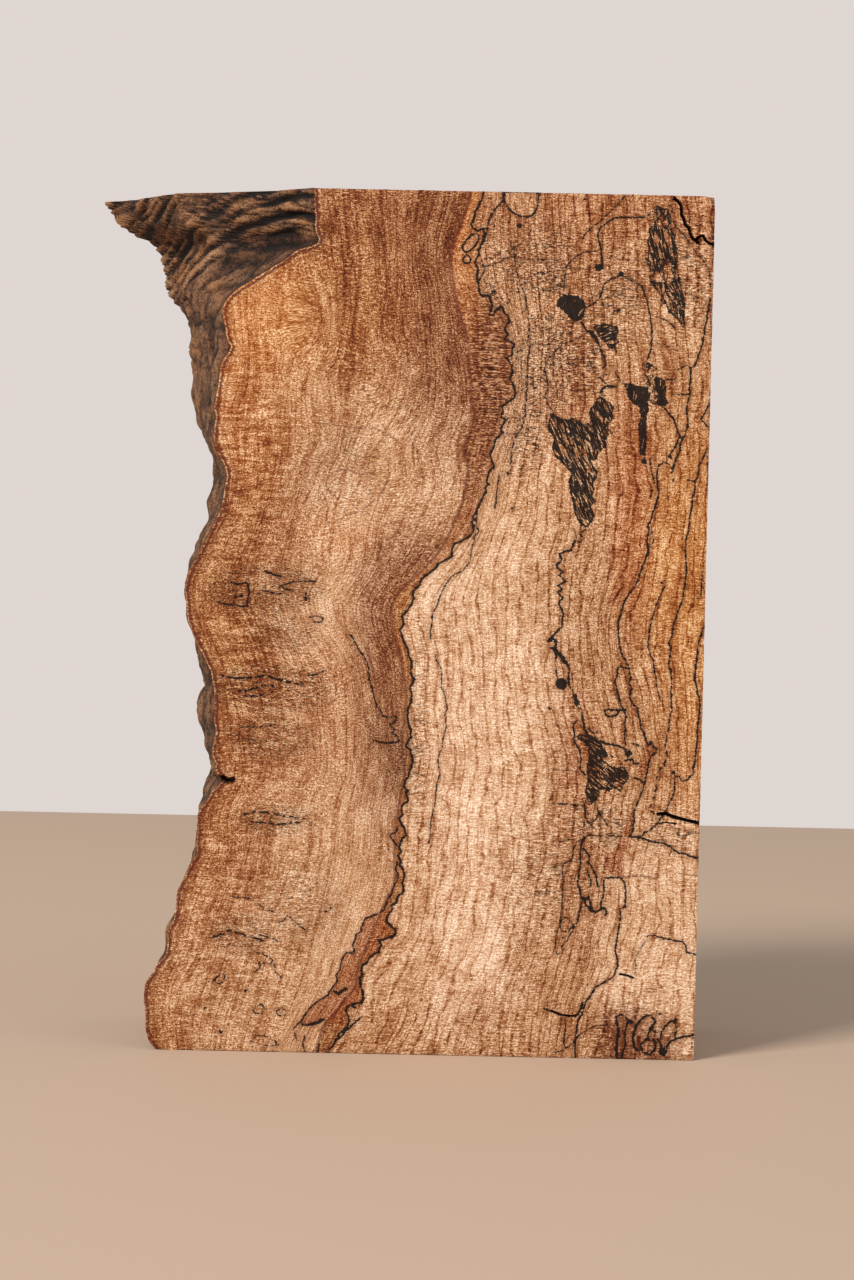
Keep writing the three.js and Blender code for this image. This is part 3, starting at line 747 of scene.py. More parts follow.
def signed_distance(points, outlines, reach=12.0):
    """Distance to the nearest outline, negative inside one."""
    nearest = np.full(len(points), reach)
    within = np.zeros(len(points), bool)
    for outline in outlines:
        closed = np.vstack([outline, outline[:1]])
        distance_to(points, closed, nearest, reach=reach)
        within |= inside(points, outline)
    return np.where(within, -nearest, nearest)


def walk(line, pitch, wobble, rng):
    """A line with a point about every pitch, its corners kept, and a slight tremor."""
    line = np.asarray(line, float)
    points = [line[0]]
    for start, end in zip(line[:-1], line[1:]):
        step = end - start
        length = float(np.hypot(*step))
        count = max(1, round(length / pitch))
        side = np.array([-step[1], step[0]]) / max(length, 1e-6)
        for k in range(1, count + 1):
            point = start + step * k / count
            if wobble and k < count:
                point = point + side * rng.uniform(-wobble, wobble)
            points.append(point)
    return np.array(points)


def rounded(line):
    """A line with each corner cut once, so that it bends more softly."""
    line = np.asarray(line, float)
    points = [line[0]]
    for before, here, after in zip(line[:-2], line[1:-1], line[2:]):
        points.append(here + (before - here) * 0.25)
        points.append(here + (after - here) * 0.25)
    points.append(line[-1])
    return np.array(points)


# ---------------------------------------------------------------------------------------------
# The figure of the wood
# ---------------------------------------------------------------------------------------------


class Figure:
    """Lines, patches and tones of the front face, drawn once with a seeded tremor."""

    def __init__(self, settings):
        rng = np.random.default_rng(17)
        self.settings = settings
        self.main = walk(MAIN_LINE, 1.3, 0.18, rng)
        self.heart = walk(rounded(HEART_LINE), 1.8, 0.12, rng)
        self.black = [(self.main, 0.52)]
        for width, points in STROKES:
            self.black.append((walk(points, 1.2, 0.16, rng), width / 2.0))
        for width, points in DASHED_STROKES:
            for dash in self.dashes(walk(points, 0.9, 0.2, rng), rng):
                self.black.append((dash, width / 2.0))
        self.brown = [(self.heart, 0.55)]
        for width, points in BROWN_STROKES:
            self.brown.append((walk(rounded(rounded(points)), 1.3, 0.2, rng), width / 2.0))
        self.patches = [walk(outline + outline[:1], 1.2, 0.25, rng)[:-1]
                        for _, _, outline in PATCHES]
        self.gaps = [walk(outline + outline[:1], 1.2, 0.2, rng)[:-1] for outline in PATCH_GAPS]
        self.orange = [walk(outline + outline[:1], 1.3, 0.15, rng)[:-1]
                       for outline in ORANGE_ISLES + [FOOT_ISLE]]
        self.pale = []
        for width, outline in PALE_ISLES:
            ring = walk(rounded(outline + outline[:1]), 1.2, 0.12, rng)
            self.pale.append(ring)
            self.black.append((ring, width / 2.0))
        for across, up, radius in DOTS:
            centre = np.array([[across, up], [across + 0.05, up]])
            self.black.append((centre, radius))
        self.guides = [(ring, self.smooth_guide(points)) for ring, points in RINGS]

    @staticmethod
    def dashes(line, rng):
        pieces = []
        start = 0
        while start < len(line) - 1:
            end = min(start + 1 + int(rng.integers(1, 4)), len(line))
            pieces.append(line[start:end])
            start = end + int(rng.integers(0, 2))
        return [piece for piece in pieces if len(piece) > 1]

    @staticmethod
    def smooth_guide(points):
        heights = np.arange(-20.0, HEIGHT + 21.0)
        values = np.interp(heights, [p[0] for p in points], [p[1] for p in points])
        reach = 12
        weights = np.exp(-0.5 * (np.arange(-reach, reach + 1) / 4.0) ** 2)
        padded = np.pad(values, reach, mode="edge")
        return np.convolve(padded, weights / weights.sum(), mode="valid")

    def ring(self, place):
        """Ring coordinate of each place: how many millimetres of growth lie before it."""
        heights = np.clip(place[:, 1], -20.0, HEIGHT + 20.0) + 20.0
        marks = np.stack([
            np.interp(heights, np.arange(len(values)), values) for _, values in self.guides
        ], axis=1)
        for k in range(1, marks.shape[1]):
            marks[:, k] = np.maximum(marks[:, k], marks[:, k - 1] + 0.5)
        levels = np.array([ring for ring, _ in self.guides], float)
        across = place[:, 0]
        result = levels[-1] + (across - marks[:, -1])
        for k in range(len(levels) - 2, -1, -1):
            share = (across - marks[:, k]) / (marks[:, k + 1] - marks[:, k])
            value = levels[k] + share * (levels[k + 1] - levels[k])
            result = np.where(across < marks[:, k + 1], value, result)
        return result

    def tint(self, place, tints):
        """Soft mix of the placed tones."""
        total = np.zeros((len(place), 3))
        weights = np.full(len(place), 1e-9)
        for tone, across, up, wide, tall in tints:
            reach = ((place[:, 0] - across) / wide) ** 2 + ((place[:, 1] - up) / tall) ** 2
            weight = np.exp(-0.5 * reach)
            total += weight[:, None] * linear(getattr(self.settings, tone))
            weights += weight
        return total / weights[:, None]

    @staticmethod
    def area(place, areas):
        """Strength of the named areas at each place."""
        result = np.zeros(len(place))
        for strength, across, up, wide, tall in areas:
            reach = ((place[:, 0] - across) / wide) ** 2 + ((place[:, 1] - up) / tall) ** 2
            result = np.maximum(result, strength * np.exp(-0.5 * reach ** 1.5))
        return result

    def drawn(self):
        """Every line that the mesh follows, in the figure's own plane."""
        lines = [line for line, _ in self.black + self.brown]
        closed = self.patches + self.gaps + self.orange
        return lines, [np.vstack([outline, outline[:1]]) for outline in closed]


# ---------------------------------------------------------------------------------------------
# The mesh: the bark's sheet, and a triangulated sheet for each sawn face
# ---------------------------------------------------------------------------------------------


def soften(grid, axis):
    """One pass of a short blur along an axis."""
    width = [(1, 1) if k == axis else (0, 0) for k in range(2)]
    padded = np.pad(grid, width, mode="edge")
    count = grid.shape[axis]
    first = np.take(padded, np.arange(count), axis)
    middle = np.take(padded, np.arange(1, count + 1), axis)
    last = np.take(padded, np.arange(2, count + 2), axis)
    return (first + 2.0 * middle + last) / 4.0


def bark_reach(node, columns, rows):
    """How far the live edge stands from the straight side, over a grid of depth and height."""
    tree = BVHTree.FromPolygons(
        [v.co.copy() for v in node.data.vertices],
        [tuple(p.vertices) for p in node.data.polygons],
    )
    depths = np.linspace(0.0, DEPTH, columns)
    fine_from = 285.0
    coarse_rows = round(rows * 0.68)
    heights = np.concatenate([
        np.linspace(0.0, fine_from, coarse_rows, endpoint=False),
        np.linspace(fine_from, HEIGHT, rows - coarse_rows),
    ])
    skin = 0.02
    reach = np.zeros((columns, rows))
    for i, depth in enumerate(np.clip(depths, skin, DEPTH - skin)):
        for j, height in enumerate(np.clip(heights, skin, HEIGHT - skin)):
            start = Vector((CAD_LOW.x - 0.1, CAD_LOW.y + depth * MM, CAD_LOW.z + height * MM))
            hit = tree.ray_cast(start, Vector((1.0, 0.0, 0.0)))[0]
            if hit is None:
                raise RuntimeError("The live edge has a hole at %.1f, %.1f" % (depth, height))
            reach[i, j] = (CAD_HIGH.x - hit.x) / MM
    reach = soften(soften(reach, 0), 0)
    reach = soften(reach, 1)
    return depths, heights, reach


# The deep groove of the bark that its flutes follow: [distance from the straight side, height].
GROOVE = [
    (150, 333), (163, 333), (175, 333.5), (185, 332), (195, 329), (205, 322.5), (215, 313), (222, 304),
    (235, 290), (254, 275),
]
FLUTE_PITCH = 6.4


def flute_level(height, reach):
    """How far above the deep groove a place of the bark stands."""
    return height - float(np.interp(reach, [g[0] for g in GROOVE], [g[1] for g in GROOVE]))


def flute_ridge(depth, height, reach):
    """The flutes above the groove and the slanting folds below it, from 0 to 1."""
    level = flute_level(height, reach)
    level += 2.6 * noise.noise(Vector((reach, depth, height)) / 19.0)
    fluted = float(smoothstep(level, -5.0, 1.0))
    track = Vector((reach * 0.03, depth * 0.02, level * 0.13))
    fine = Vector((reach * 0.05, depth * 0.04, level * 0.42 + 9.0))
    broken = Vector((reach * 0.06, depth * 0.06, level * 0.3 + 2.0))
    level += 2.4 * noise.noise(track) + 0.9 * noise.noise(Vector((reach, depth, height)) / 8.0)
    furrow = (1.0 - abs(math.sin(math.pi * level / FLUTE_PITCH))) ** 1.6
    furrow *= min(max(0.75 + 1.5 * noise.noise(broken), 0.0), 1.0)
    thread = (1.0 - min(abs(noise.noise(fine)) * 3.4, 1.0)) ** 1.5
    flute = 1.0 - 0.95 * furrow - 0.45 * thread
    slant = height + 0.5 * depth
    slant += 9.0 * noise.noise(Vector((reach, depth, height)) / 17.0)
    fold = Vector((reach * 0.05, depth * 0.07, slant * 0.095 + 4.0))
    folded = min(abs(noise.noise(fold)) * 3.2, 1.0)
    flute = min(max(flute, 0.0), 1.0)
    return flute * fluted + (0.45 + 0.28 * folded) * (1.0 - fluted), fluted


def bark_lumps(depth, height, reach):
    """Small relief of the bark: lumps, fissures, and ridges on the flutes."""
    spot = Vector((depth, reach * 0.6, height))
    lumps = noise.fractal(spot / 9.0, 0.9, 2.1, 3)
    knobs = noise.noise(spot / 4.6 + Vector((7, 3, 5)))
    flat = Vector((depth / 13.0, reach / 20.0, height / 6.0))
    fissure = max(0.0, 1.0 - abs(noise.noise(flat)) / 0.10)
    ridge, fluted = flute_ridge(depth, height, reach)
    rough = 0.8 * lumps + 0.45 * knobs - 0.8 * fissure
    return rough * (1.0 - 0.45 * fluted) + (1.3 + 0.9 * fluted) * (ridge - 0.65)


def bark_sheet(node, settings):
    """Grid of bark points as block coordinates, and the height of its relief at each."""
    depths, heights, plain = bark_reach(node, settings.bark_columns, settings.bark_rows)
    relief = np.zeros_like(plain)
    for i, depth in enumerate(depths):
        for j, height in enumerate(heights):
            relief[i, j] = bark_lumps(depth, height, plain[i, j])
    ease = 0.35 + 0.65 * smoothstep(depths, 0.0, 5.0)
    reach = plain + relief * ease[:, None] * settings.bark_relief / MM
    reach = np.minimum(reach, WIDTH)
    broad = reach
    for _ in range(14):
        broad = soften(soften(broad, 0), 1)
    sheet = np.stack([
        reach,
        np.repeat(depths[:, None], len(heights), axis=1),
        np.repeat(heights[None, :], len(depths), axis=0),
    ], axis=2)
    return sheet.astype(np.float32).astype(float), reach - broad


class SawnFace:
    """One flat face: the two coordinates that run along it, and the one that stays the same."""

    def __init__(self, name, along, fixed, value, spacing):
        self.name = name
        self.along = along
        self.fixed = fixed
        self.value = value
        self.spacing = spacing

    def flat(self, points):
        return points[:, self.along]

    def solid(self, flat):
        points = np.empty((len(flat), 3))
        points[:, self.along] = flat
        points[:, self.fixed] = self.value
        return points

    def from_figure(self, place):
        """The points of this face that show the given places of the figure."""
        points = np.empty((len(place), 3))
        points[:, 0], points[:, 2] = place[:, 0], place[:, 1]
        points[:, 1] = 0.0
        if self.fixed == 1 and self.value == 0.0:
            return points
        points[:, self.fixed] = self.value
        centre = np.array(FIGURE_CENTRE)
        for _ in range(14):
            share = points[:, 1] / DEPTH
            stray = np.stack(wander(points[:, 0], points[:, 2]), axis=1) * share[:, None]
            pulled = place - centre - stray
            if self.fixed == 1:
                scale = 1.0 - FIGURE_CLOSING * share
            else:
                side = 0 if self.fixed == 0 else 1
                scale = pulled[:, side] / (self.value - centre[side])
                scale = np.clip(scale, 0.2, 1.4)
                points[:, 1] = DEPTH * (1.0 - scale) / FIGURE_CLOSING
            spread = centre + pulled / scale[:, None]
            if self.fixed != 0:
                points[:, 0] = spread[:, 0]
            if self.fixed != 2:
                points[:, 2] = spread[:, 1]
        return points


def crossings(flat, axis, value):
    """Where a line in a face's plane meets the border at this value of one coordinate."""
    offset = flat[:, axis] - value
    found = [flat[k] for k in (0, -1) if abs(offset[k]) < 0.12]
    for k in np.flatnonzero(offset[:-1] * offset[1:] < 0.0):
        share = offset[k] / (offset[k] - offset[k + 1])
        found.append(flat[k] + share * (flat[k + 1] - flat[k]))
    return found


def edge_chain(start, end, spacing, extras):
    """Points along a straight edge, evenly spaced apart from those where lines cross it."""
    start, end = np.asarray(start, float), np.asarray(end, float)
    length = float(np.linalg.norm(end - start))
    heading = (end - start) / length
    kept = []
    for mark in sorted(float((extra - start) @ heading) for extra in extras):
        if 0.8 < mark < length - 0.8 and (not kept or mark - kept[-1] > 0.6):
            kept.append(mark)
    marks = [0.0]
    for stop in kept + [length]:
        gap = stop - marks[-1]
        count = max(1, round(gap / spacing))
        first = marks[-1]
        marks += [first + gap * k / count for k in range(1, count + 1)]
    chain = start + np.outer(marks, heading)
    return chain.astype(np.float32).astype(float)


def runs_inside(flat, outline, clear):
    """The stretches of a line that lie inside an outline and clear of it."""
    room = np.full(len(flat), 5.0)
    distance_to(flat, np.vstack([outline, outline[:1]]), room, reach=5.0)
    good = inside(flat, outline) & (room > clear)
    runs = []
    start = None
    for k, is_good in enumerate(list(good) + [False]):
        if is_good and start is None:
            start = k
        if not is_good and start is not None:
            runs.append(flat[start:k])
            start = None
    return runs


def guards(line, offset):
    """Points on both sides of a line, which hold its width in the mesh."""
    step = np.gradient(line, axis=0) if len(line) > 1 else np.array([[1.0, 0.0]])
    step = step / np.maximum(np.linalg.norm(step, axis=1), 1e-6)[:, None]
    side = np.stack([-step[:, 1], step[:, 0]], axis=1) * offset
    ends = np.array([line[0] - step[0] * offset, line[-1] + step[-1] * offset])
    return np.vstack([line + side, line - side, ends])


def nearest_tree(points):
    tree = kdtree.KDTree(len(points))
    for k, point in enumerate(points):
        tree.insert((point[0], point[1], 0.0), k)
    tree.balance()
    return tree


def triangulate(face, outline, lines, closed, grooves, rng):
    """A flat sheet of triangles inside the outline that follows every line drawn on it."""
    points = [np.asarray(p) for p in outline]
    edges = [(k, (k + 1) % len(points)) for k in range(len(points))]
    border = nearest_tree(outline)
    lined = []

    def draw(flat, joins):
        for run in runs_inside(flat, outline, 0.45):
            run = list(run)
            if joins:
                for at_start in (True, False):
                    end = run[0] if at_start else run[-1]
                    _, index, gap = border.find((end[0], end[1], 0.0))
                    if gap < 1.3:
                        run = [outline[index]] + run if at_start else run + [outline[index]]
            first = len(points)
            points.extend(run)
            lined.extend(run)
            edges.extend((k, k + 1) for k in range(first, len(points) - 1))

    for line in lines:
        draw(line, True)
    for line in closed:
        draw(line, False)
    for centre, half in grooves:
        draw(centre, True)
        step = np.gradient(centre, axis=0)
        step = step / np.linalg.norm(step, axis=1)[:, None]
        side = np.stack([-step[:, 1], step[:, 0]], axis=1) * half
        draw(centre + side, True)
        draw(centre - side, True)

    drawn = nearest_tree(lined if lined else [np.zeros(2)])
    room = face.spacing * 0.55
    filler = []
    for line in lines:
        filler.append(guards(line, 0.8))
    low, high = outline.min(axis=0), outline.max(axis=0)
    rise = face.spacing * math.sqrt(3.0) / 2.0
    for row in range(1, int((high[1] - low[1]) / rise) + 1):
        x = np.arange(low[0] + face.spacing * (0.5 + 0.5 * (row % 2)), high[0], face.spacing)
        y = np.full(len(x), low[1] + row * rise)
        jitter = rng.uniform(-0.12, 0.12, (len(x), 2)) * face.spacing
        filler.append(np.stack([x, y], axis=1) + jitter)
    guard_count = sum(len(f) for f in filler[:len(lines)])
    filler = np.vstack(filler)
    edge_room = np.full(len(filler), 5.0)
    distance_to(filler, np.vstack([outline, outline[:1]]), edge_room, reach=5.0)
    usable = inside(filler, outline) & (edge_room > 0.55)
    taken = []
    for k in np.flatnonzero(usable[:guard_count]):
        x, y = filler[k]
        if drawn.find((x, y, 0.0))[2] > 0.5:
            taken.append(filler[k])
    points.extend(taken)
    both = nearest_tree(lined + taken if lined + taken else [np.zeros(2)])
    for k in np.flatnonzero(usable[guard_count:]) + guard_count:
        x, y = filler[k]
        if edge_room[k] > face.spacing * 0.45 and both.find((x, y, 0.0))[2] > room:
            points.append(filler[k])
    found, _, triangles, *_ = delaunay_2d_cdt(
        [Vector((float(p[0]), float(p[1]))) for p in points], edges, [], 1, 1e-4, False
    )
    flat = np.array([tuple(v) for v in found])
    triangles = np.array([tuple(t) for t in triangles])
    kept = triangles[inside(flat[triangles].mean(axis=1), outline)]
    return face.solid(flat), [tuple(int(k) for k in triangle) for triangle in kept]


def sawn_faces(settings):
    front = settings.front_spacing / MM
    side = settings.side_spacing / MM
    return {
        "front": SawnFace("front", [0, 2], 1, 0.0, front),
        "back": SawnFace("back", [0, 2], 1, DEPTH, side),
        "top": SawnFace("top", [0, 1], 2, HEIGHT, side),
        "foot": SawnFace("foot", [0, 1], 2, 0.0, side),
        "side": SawnFace("side", [1, 2], 0, 0.0, side),
    }


def block_outlines(faces, sheet, drawings):
    """The closed border of each sawn face, sharing its points with its neighbours."""
    pitch = 1.5
    near, far = 0.0, DEPTH

    def corner(across, depth, up):
        return np.array([across, depth, up])

    def cut(name, axis, value):
        face = faces[name]
        found = []
        for flat in drawings[name]:
            found += crossings(flat, axis, value)
        return list(face.solid(np.array(found))) if found else []

    bark_foot, bark_top = sheet[:, 0], sheet[:, -1]
    chains = {}
    for name, depth, k in (("front", near, 0), ("back", far, -1)):
        chains[name, "foot"] = edge_chain(
            corner(0, depth, 0), bark_foot[k], pitch, cut(name, 1, 0.0))
        chains[name, "top"] = edge_chain(
            corner(0, depth, HEIGHT), bark_top[k], pitch, cut(name, 1, HEIGHT))
        chains[name, "side"] = edge_chain(
            corner(0, depth, 0), corner(0, depth, HEIGHT), pitch, cut(name, 0, 0.0))
    for name, up in (("foot", 0.0), ("top", HEIGHT)):
        chains["side", name] = edge_chain(
            corner(0, near, up), corner(0, far, up), pitch, cut("side", 1, up))

    def loop(*parts):
        return np.vstack([part[:-1] for part in parts])

    outlines = {}
    for name, k in (("front", 0), ("back", -1)):
        outlines[name] = loop(
            chains[name, "foot"], sheet[k], chains[name, "top"][::-1],
            chains[name, "side"][::-1])
    for name, bark in (("foot", bark_foot), ("top", bark_top)):
        outlines[name] = loop(
            chains["front", name], bark, chains["back", name][::-1],
            chains["side", name][::-1])
    outlines["side"] = loop(
        chains["front", "side"], chains["side", "top"], chains["back", "side"][::-1],
        chains["side", "foot"][::-1])
    return outlines


def block_mesh(node, figure, settings):
    """All points and faces of the block, which sheet each face is in, and the bark's relief."""
    rng = np.random.default_rng(5)
    sheet, relief = bark_sheet(node, settings)
    columns, rows = relief.shape
    points = [sheet.reshape(-1, 3)]
    faces = []
    for i in range(columns - 1):
        for j in range(rows - 1):
            here = i * rows + j
            faces.append((here, here + 1, here + rows + 1, here + rows))
    sheets = [np.zeros(len(faces), np.int32)]
    start = columns * rows

    sawn = sawn_faces(settings)
    lines, closed = figure.drawn()
    drawings = {
        name: [face.flat(face.from_figure(line)) for line in lines]
        for name, face in sawn.items()
    }
    outlines = block_outlines(sawn, sheet, drawings)
    for number, (name, face) in enumerate(sawn.items(), 1):
        grooves = []
        if name == "front":
            grooves = [(walk(line, 1.2, 0.0, rng), width / 2.0) for width, _, line in CRACKS]
        rings = [face.flat(face.from_figure(line)) for line in closed]
        outline = face.flat(outlines[name])
        found, triangles = triangulate(face, outline, drawings[name], rings, grooves, rng)
        points.append(found)
        faces += [tuple(start + k for k in triangle) for triangle in triangles]
        sheets.append(np.full(len(triangles), number, np.int32))
        start += len(found)
    rims = [sheet[0], sheet[-1], sheet[:, 0], sheet[:, -1]]
    return np.vstack(points), faces, np.concatenate(sheets), relief.reshape(-1), rims


def weld(points, faces, relief):
    """Joins the sheets where their borders share points."""
    keys = np.round(points.astype(np.float32).astype(float), 4)
    _, first, index = np.unique(keys, axis=0, return_index=True, return_inverse=True)
    index = index.reshape(-1)
    order = np.argsort(first)
    rank = np.empty_like(order)
    rank[order] = np.arange(len(order))
    joined = points[first[order]]
    height = np.zeros(len(points))
    height[:len(relief)] = relief
    return joined, [tuple(int(rank[index[k]]) for k in face) for face in faces], (
        height[first[order]]
    )


def carve(points, settings):
    """Opens the cracks, wears the sawn edges and knocks the upper corner in."""
    result = points.copy()
    on_front = points[:, 1] < 1e-6
    flat = points[:, [0, 2]]
    sink = np.zeros(len(points))
    for width, depth, line in CRACKS:
        gap = np.full(len(points), 12.0)
        distance_to(flat, line, gap)
        sink = np.maximum(sink, depth * np.clip(1.0 - gap / (width / 2.0), 0.0, 1.0))
    sink = np.where(on_front, sink, 0.0)
    result[:, 1] += sink

    near = {
        "front": points[:, 1] < 0.01, "back": points[:, 1] > DEPTH - 0.01,
        "foot": points[:, 2] < 0.01, "top": points[:, 2] > HEIGHT - 0.01,
        "side": points[:, 0] < 0.01,
    }
    inward = {
        "front": (0, 1, 0), "back": (0, -1, 0), "foot": (0, 0, 1), "top": (0, 0, -1),
        "side": (1, 0, 0),
    }
    count = sum(flag.astype(int) for flag in near.values())
    on_edge = np.flatnonzero(count > 1)
    wear = settings.edge_wear / MM
    for k in on_edge:
        bite = wear * (0.7 + 0.9 * noise.noise(Vector(points[k]) / 5.0))
        for name, flag in near.items():
            if flag[k]:
                result[k] += bite * np.array(inward[name])
    corner = np.linalg.norm(points - np.array([0.0, 0.0, HEIGHT]), axis=1)
    knock = 1.5 * np.exp(-((corner / 2.6) ** 2))
    result += knock[:, None] * np.array([1.0, 0.5, -1.0])
    return result, sink


# ---------------------------------------------------------------------------------------------
# What the materials read at each point
# ---------------------------------------------------------------------------------------------


def patch_swirls(place, figure):
    """Across and along the swirls of the nearest black patch, and how open they are."""
    result = np.zeros((len(place), 3))
    nearest = np.full(len(place), 12.0)
    for (openness, lie, _), outline in zip(PATCHES, figure.patches):
        gap = np.full(len(place), 12.0)
        distance_to(place, np.vstack([outline, outline[:1]]), gap)
        gap = np.where(inside(place, outline), -gap, gap)
        closer = gap < nearest
        nearest = np.where(closer, gap, nearest)
        angle = math.radians(lie)
        along = np.array([-math.cos(angle), math.sin(angle)])
        across = np.array([along[1], -along[0]])
        swirl = np.stack([place @ across, place @ along, np.full(len(place), openness)], axis=1)
        result[closer] = swirl[closer]
    return result


def grain_space(points, place, scale, figure):
    """Millimetre coordinates that follow the rings, for the fine patterns of the wood."""
    ring = figure.ring(place)
    swirl = figure.area(place, SWIRLING_AREAS)
    across = points[:, 0] + (ring - place[:, 0]) / scale
    up = points[:, 2].copy()
    for k, point in enumerate(points):
        spot = Vector(point)
        stray = noise.noise_vector(spot / 26.0)
        curl = noise.noise_vector(spot / 11.0 + Vector((31, 17, 5)))
        push = 1.6 * stray.x + swirl[k] * (8.0 * stray.x + 2.0 * curl.x)
        across[k] += push
        ring[k] += push
        up[k] += 2.0 * stray.z + swirl[k] * (8.0 * stray.z + 2.0 * curl.z)
    return np.stack([across, points[:, 1], up], axis=1), np.stack([ring, points[:, 1], up], axis=1)


def write_attributes(mesh, points, sink, relief, rims, figure):
    """Stores on the mesh everything that the wood and bark materials read."""
    place, scale = figure_place(points)
    count = len(points)

    def line_gap(lines):
        gap = np.full(count, 12.0)
        for line, half in lines:
            taper = np.full(len(line), half)
            if len(line) > 4:
                taper[0] = taper[-1] = half * 0.75
            distance_to(place, line, gap, margin=taper * 1.0)
        return gap

    def side_of(line):
        gap = np.full(count, 12.0)
        distance_to(place, line, gap)
        outer = np.vstack([[400.0, line[0, 1] + 60.0], [line[0, 0], line[0, 1] + 60.0], line,
                           [line[-1, 0], -60.0], [400.0, -60.0]])
        return np.where(inside(place, outer), gap, -gap)

    patch = signed_distance(place, figure.patches)
    gaps = signed_distance(place, figure.gaps)
    edge = np.full(count, 12.0)
    for rim in rims:
        distance_to(points, rim, edge)
    grain, ring = grain_space(points, place, scale, figure)
    masks = np.stack([
        figure.area(place, TORN_AREAS), figure.area(place, PEPPERED_AREAS),
        figure.area(place, CURLY_AREAS),
    ], axis=1)
    numbers = {
        "ink_gap": line_gap(figure.black),
        "brown_gap": line_gap(figure.brown),
        "patch_gap": np.maximum(patch, -gaps),
        "main_side": side_of(figure.main),
        "heart_side": side_of(figure.heart),
        "orange_gap": signed_distance(place, figure.orange),
        "pale_gap": signed_distance(place, figure.pale),
        "bark_gap": edge,
        "crack_depth": sink,
        "relief": relief,
        "ridge": np.array([flute_ridge(p[1], p[2], p[0])[0] for p in points]),
    }
    vectors = {"grain": grain, "growth": ring, "swirls": patch_swirls(place, figure), "areas": masks}
    tones = {
        "bark_side_tone": figure.tint(place, BARK_SIDE_TINTS),
        "band_tone": figure.tint(place, BAND_TINTS),
        "pale_side_tone": figure.tint(place, PALE_SIDE_TINTS),
    }
    for name, values in numbers.items():
        layer = mesh.attributes.new(name, "FLOAT", "POINT")
        layer.data.foreach_set("value", values.astype(np.float32))
    for name, values in vectors.items():
        layer = mesh.attributes.new(name, "FLOAT_VECTOR", "POINT")
        layer.data.foreach_set("vector", values.astype(np.float32).ravel())
    for name, values in tones.items():
        layer = mesh.attributes.new(name, "FLOAT_COLOR", "POINT")
        colour = np.ones((count, 4), np.float32)
        colour[:, :3] = values
        layer.data.foreach_set("color", colour.ravel())


def unfold(mesh, points, sheets):
    """Lays the faces out flat in the OFBake UV map, the front face largest."""
    layer = mesh.uv_layers.new(name="OFBake")
    corners = np.empty(len(mesh.loops), np.int32)
    mesh.loops.foreach_get("vertex_index", corners)
    sizes = np.empty(len(mesh.polygons), np.int32)
    mesh.polygons.foreach_get("loop_total", sizes)
    sheet = np.repeat(sheets, sizes)
    place = points[corners]
    across, depth, up = place[:, 0], place[:, 1], place[:, 2]
    large, small, gap = 0.0028, 0.00114, 0.006
    column = gap + large * 228.0
    second = column + gap + small * 100.0
    upper = gap + large * HEIGHT - small * DEPTH
    layouts = {
        0: (column + small * depth, gap + small * up),
        1: (gap + large * (226.0 - across), gap + large * up),
        2: (column + small * across, 2.0 * gap + small * (HEIGHT + up)),
        3: (column + small * across, upper + small * depth),
        4: (column + small * across, upper - gap - small * (DEPTH - depth)),
        5: (second + small * depth, gap + small * up),
    }
    result = np.zeros((len(corners), 2))
    for number, (u, v) in layouts.items():
        chosen = sheet == number
        result[chosen, 0] = u[chosen]
        result[chosen, 1] = v[chosen]
    layer.data.foreach_set("uv", result.astype(np.float32).ravel())


# ---------------------------------------------------------------------------------------------
# Materials
# ---------------------------------------------------------------------------------------------


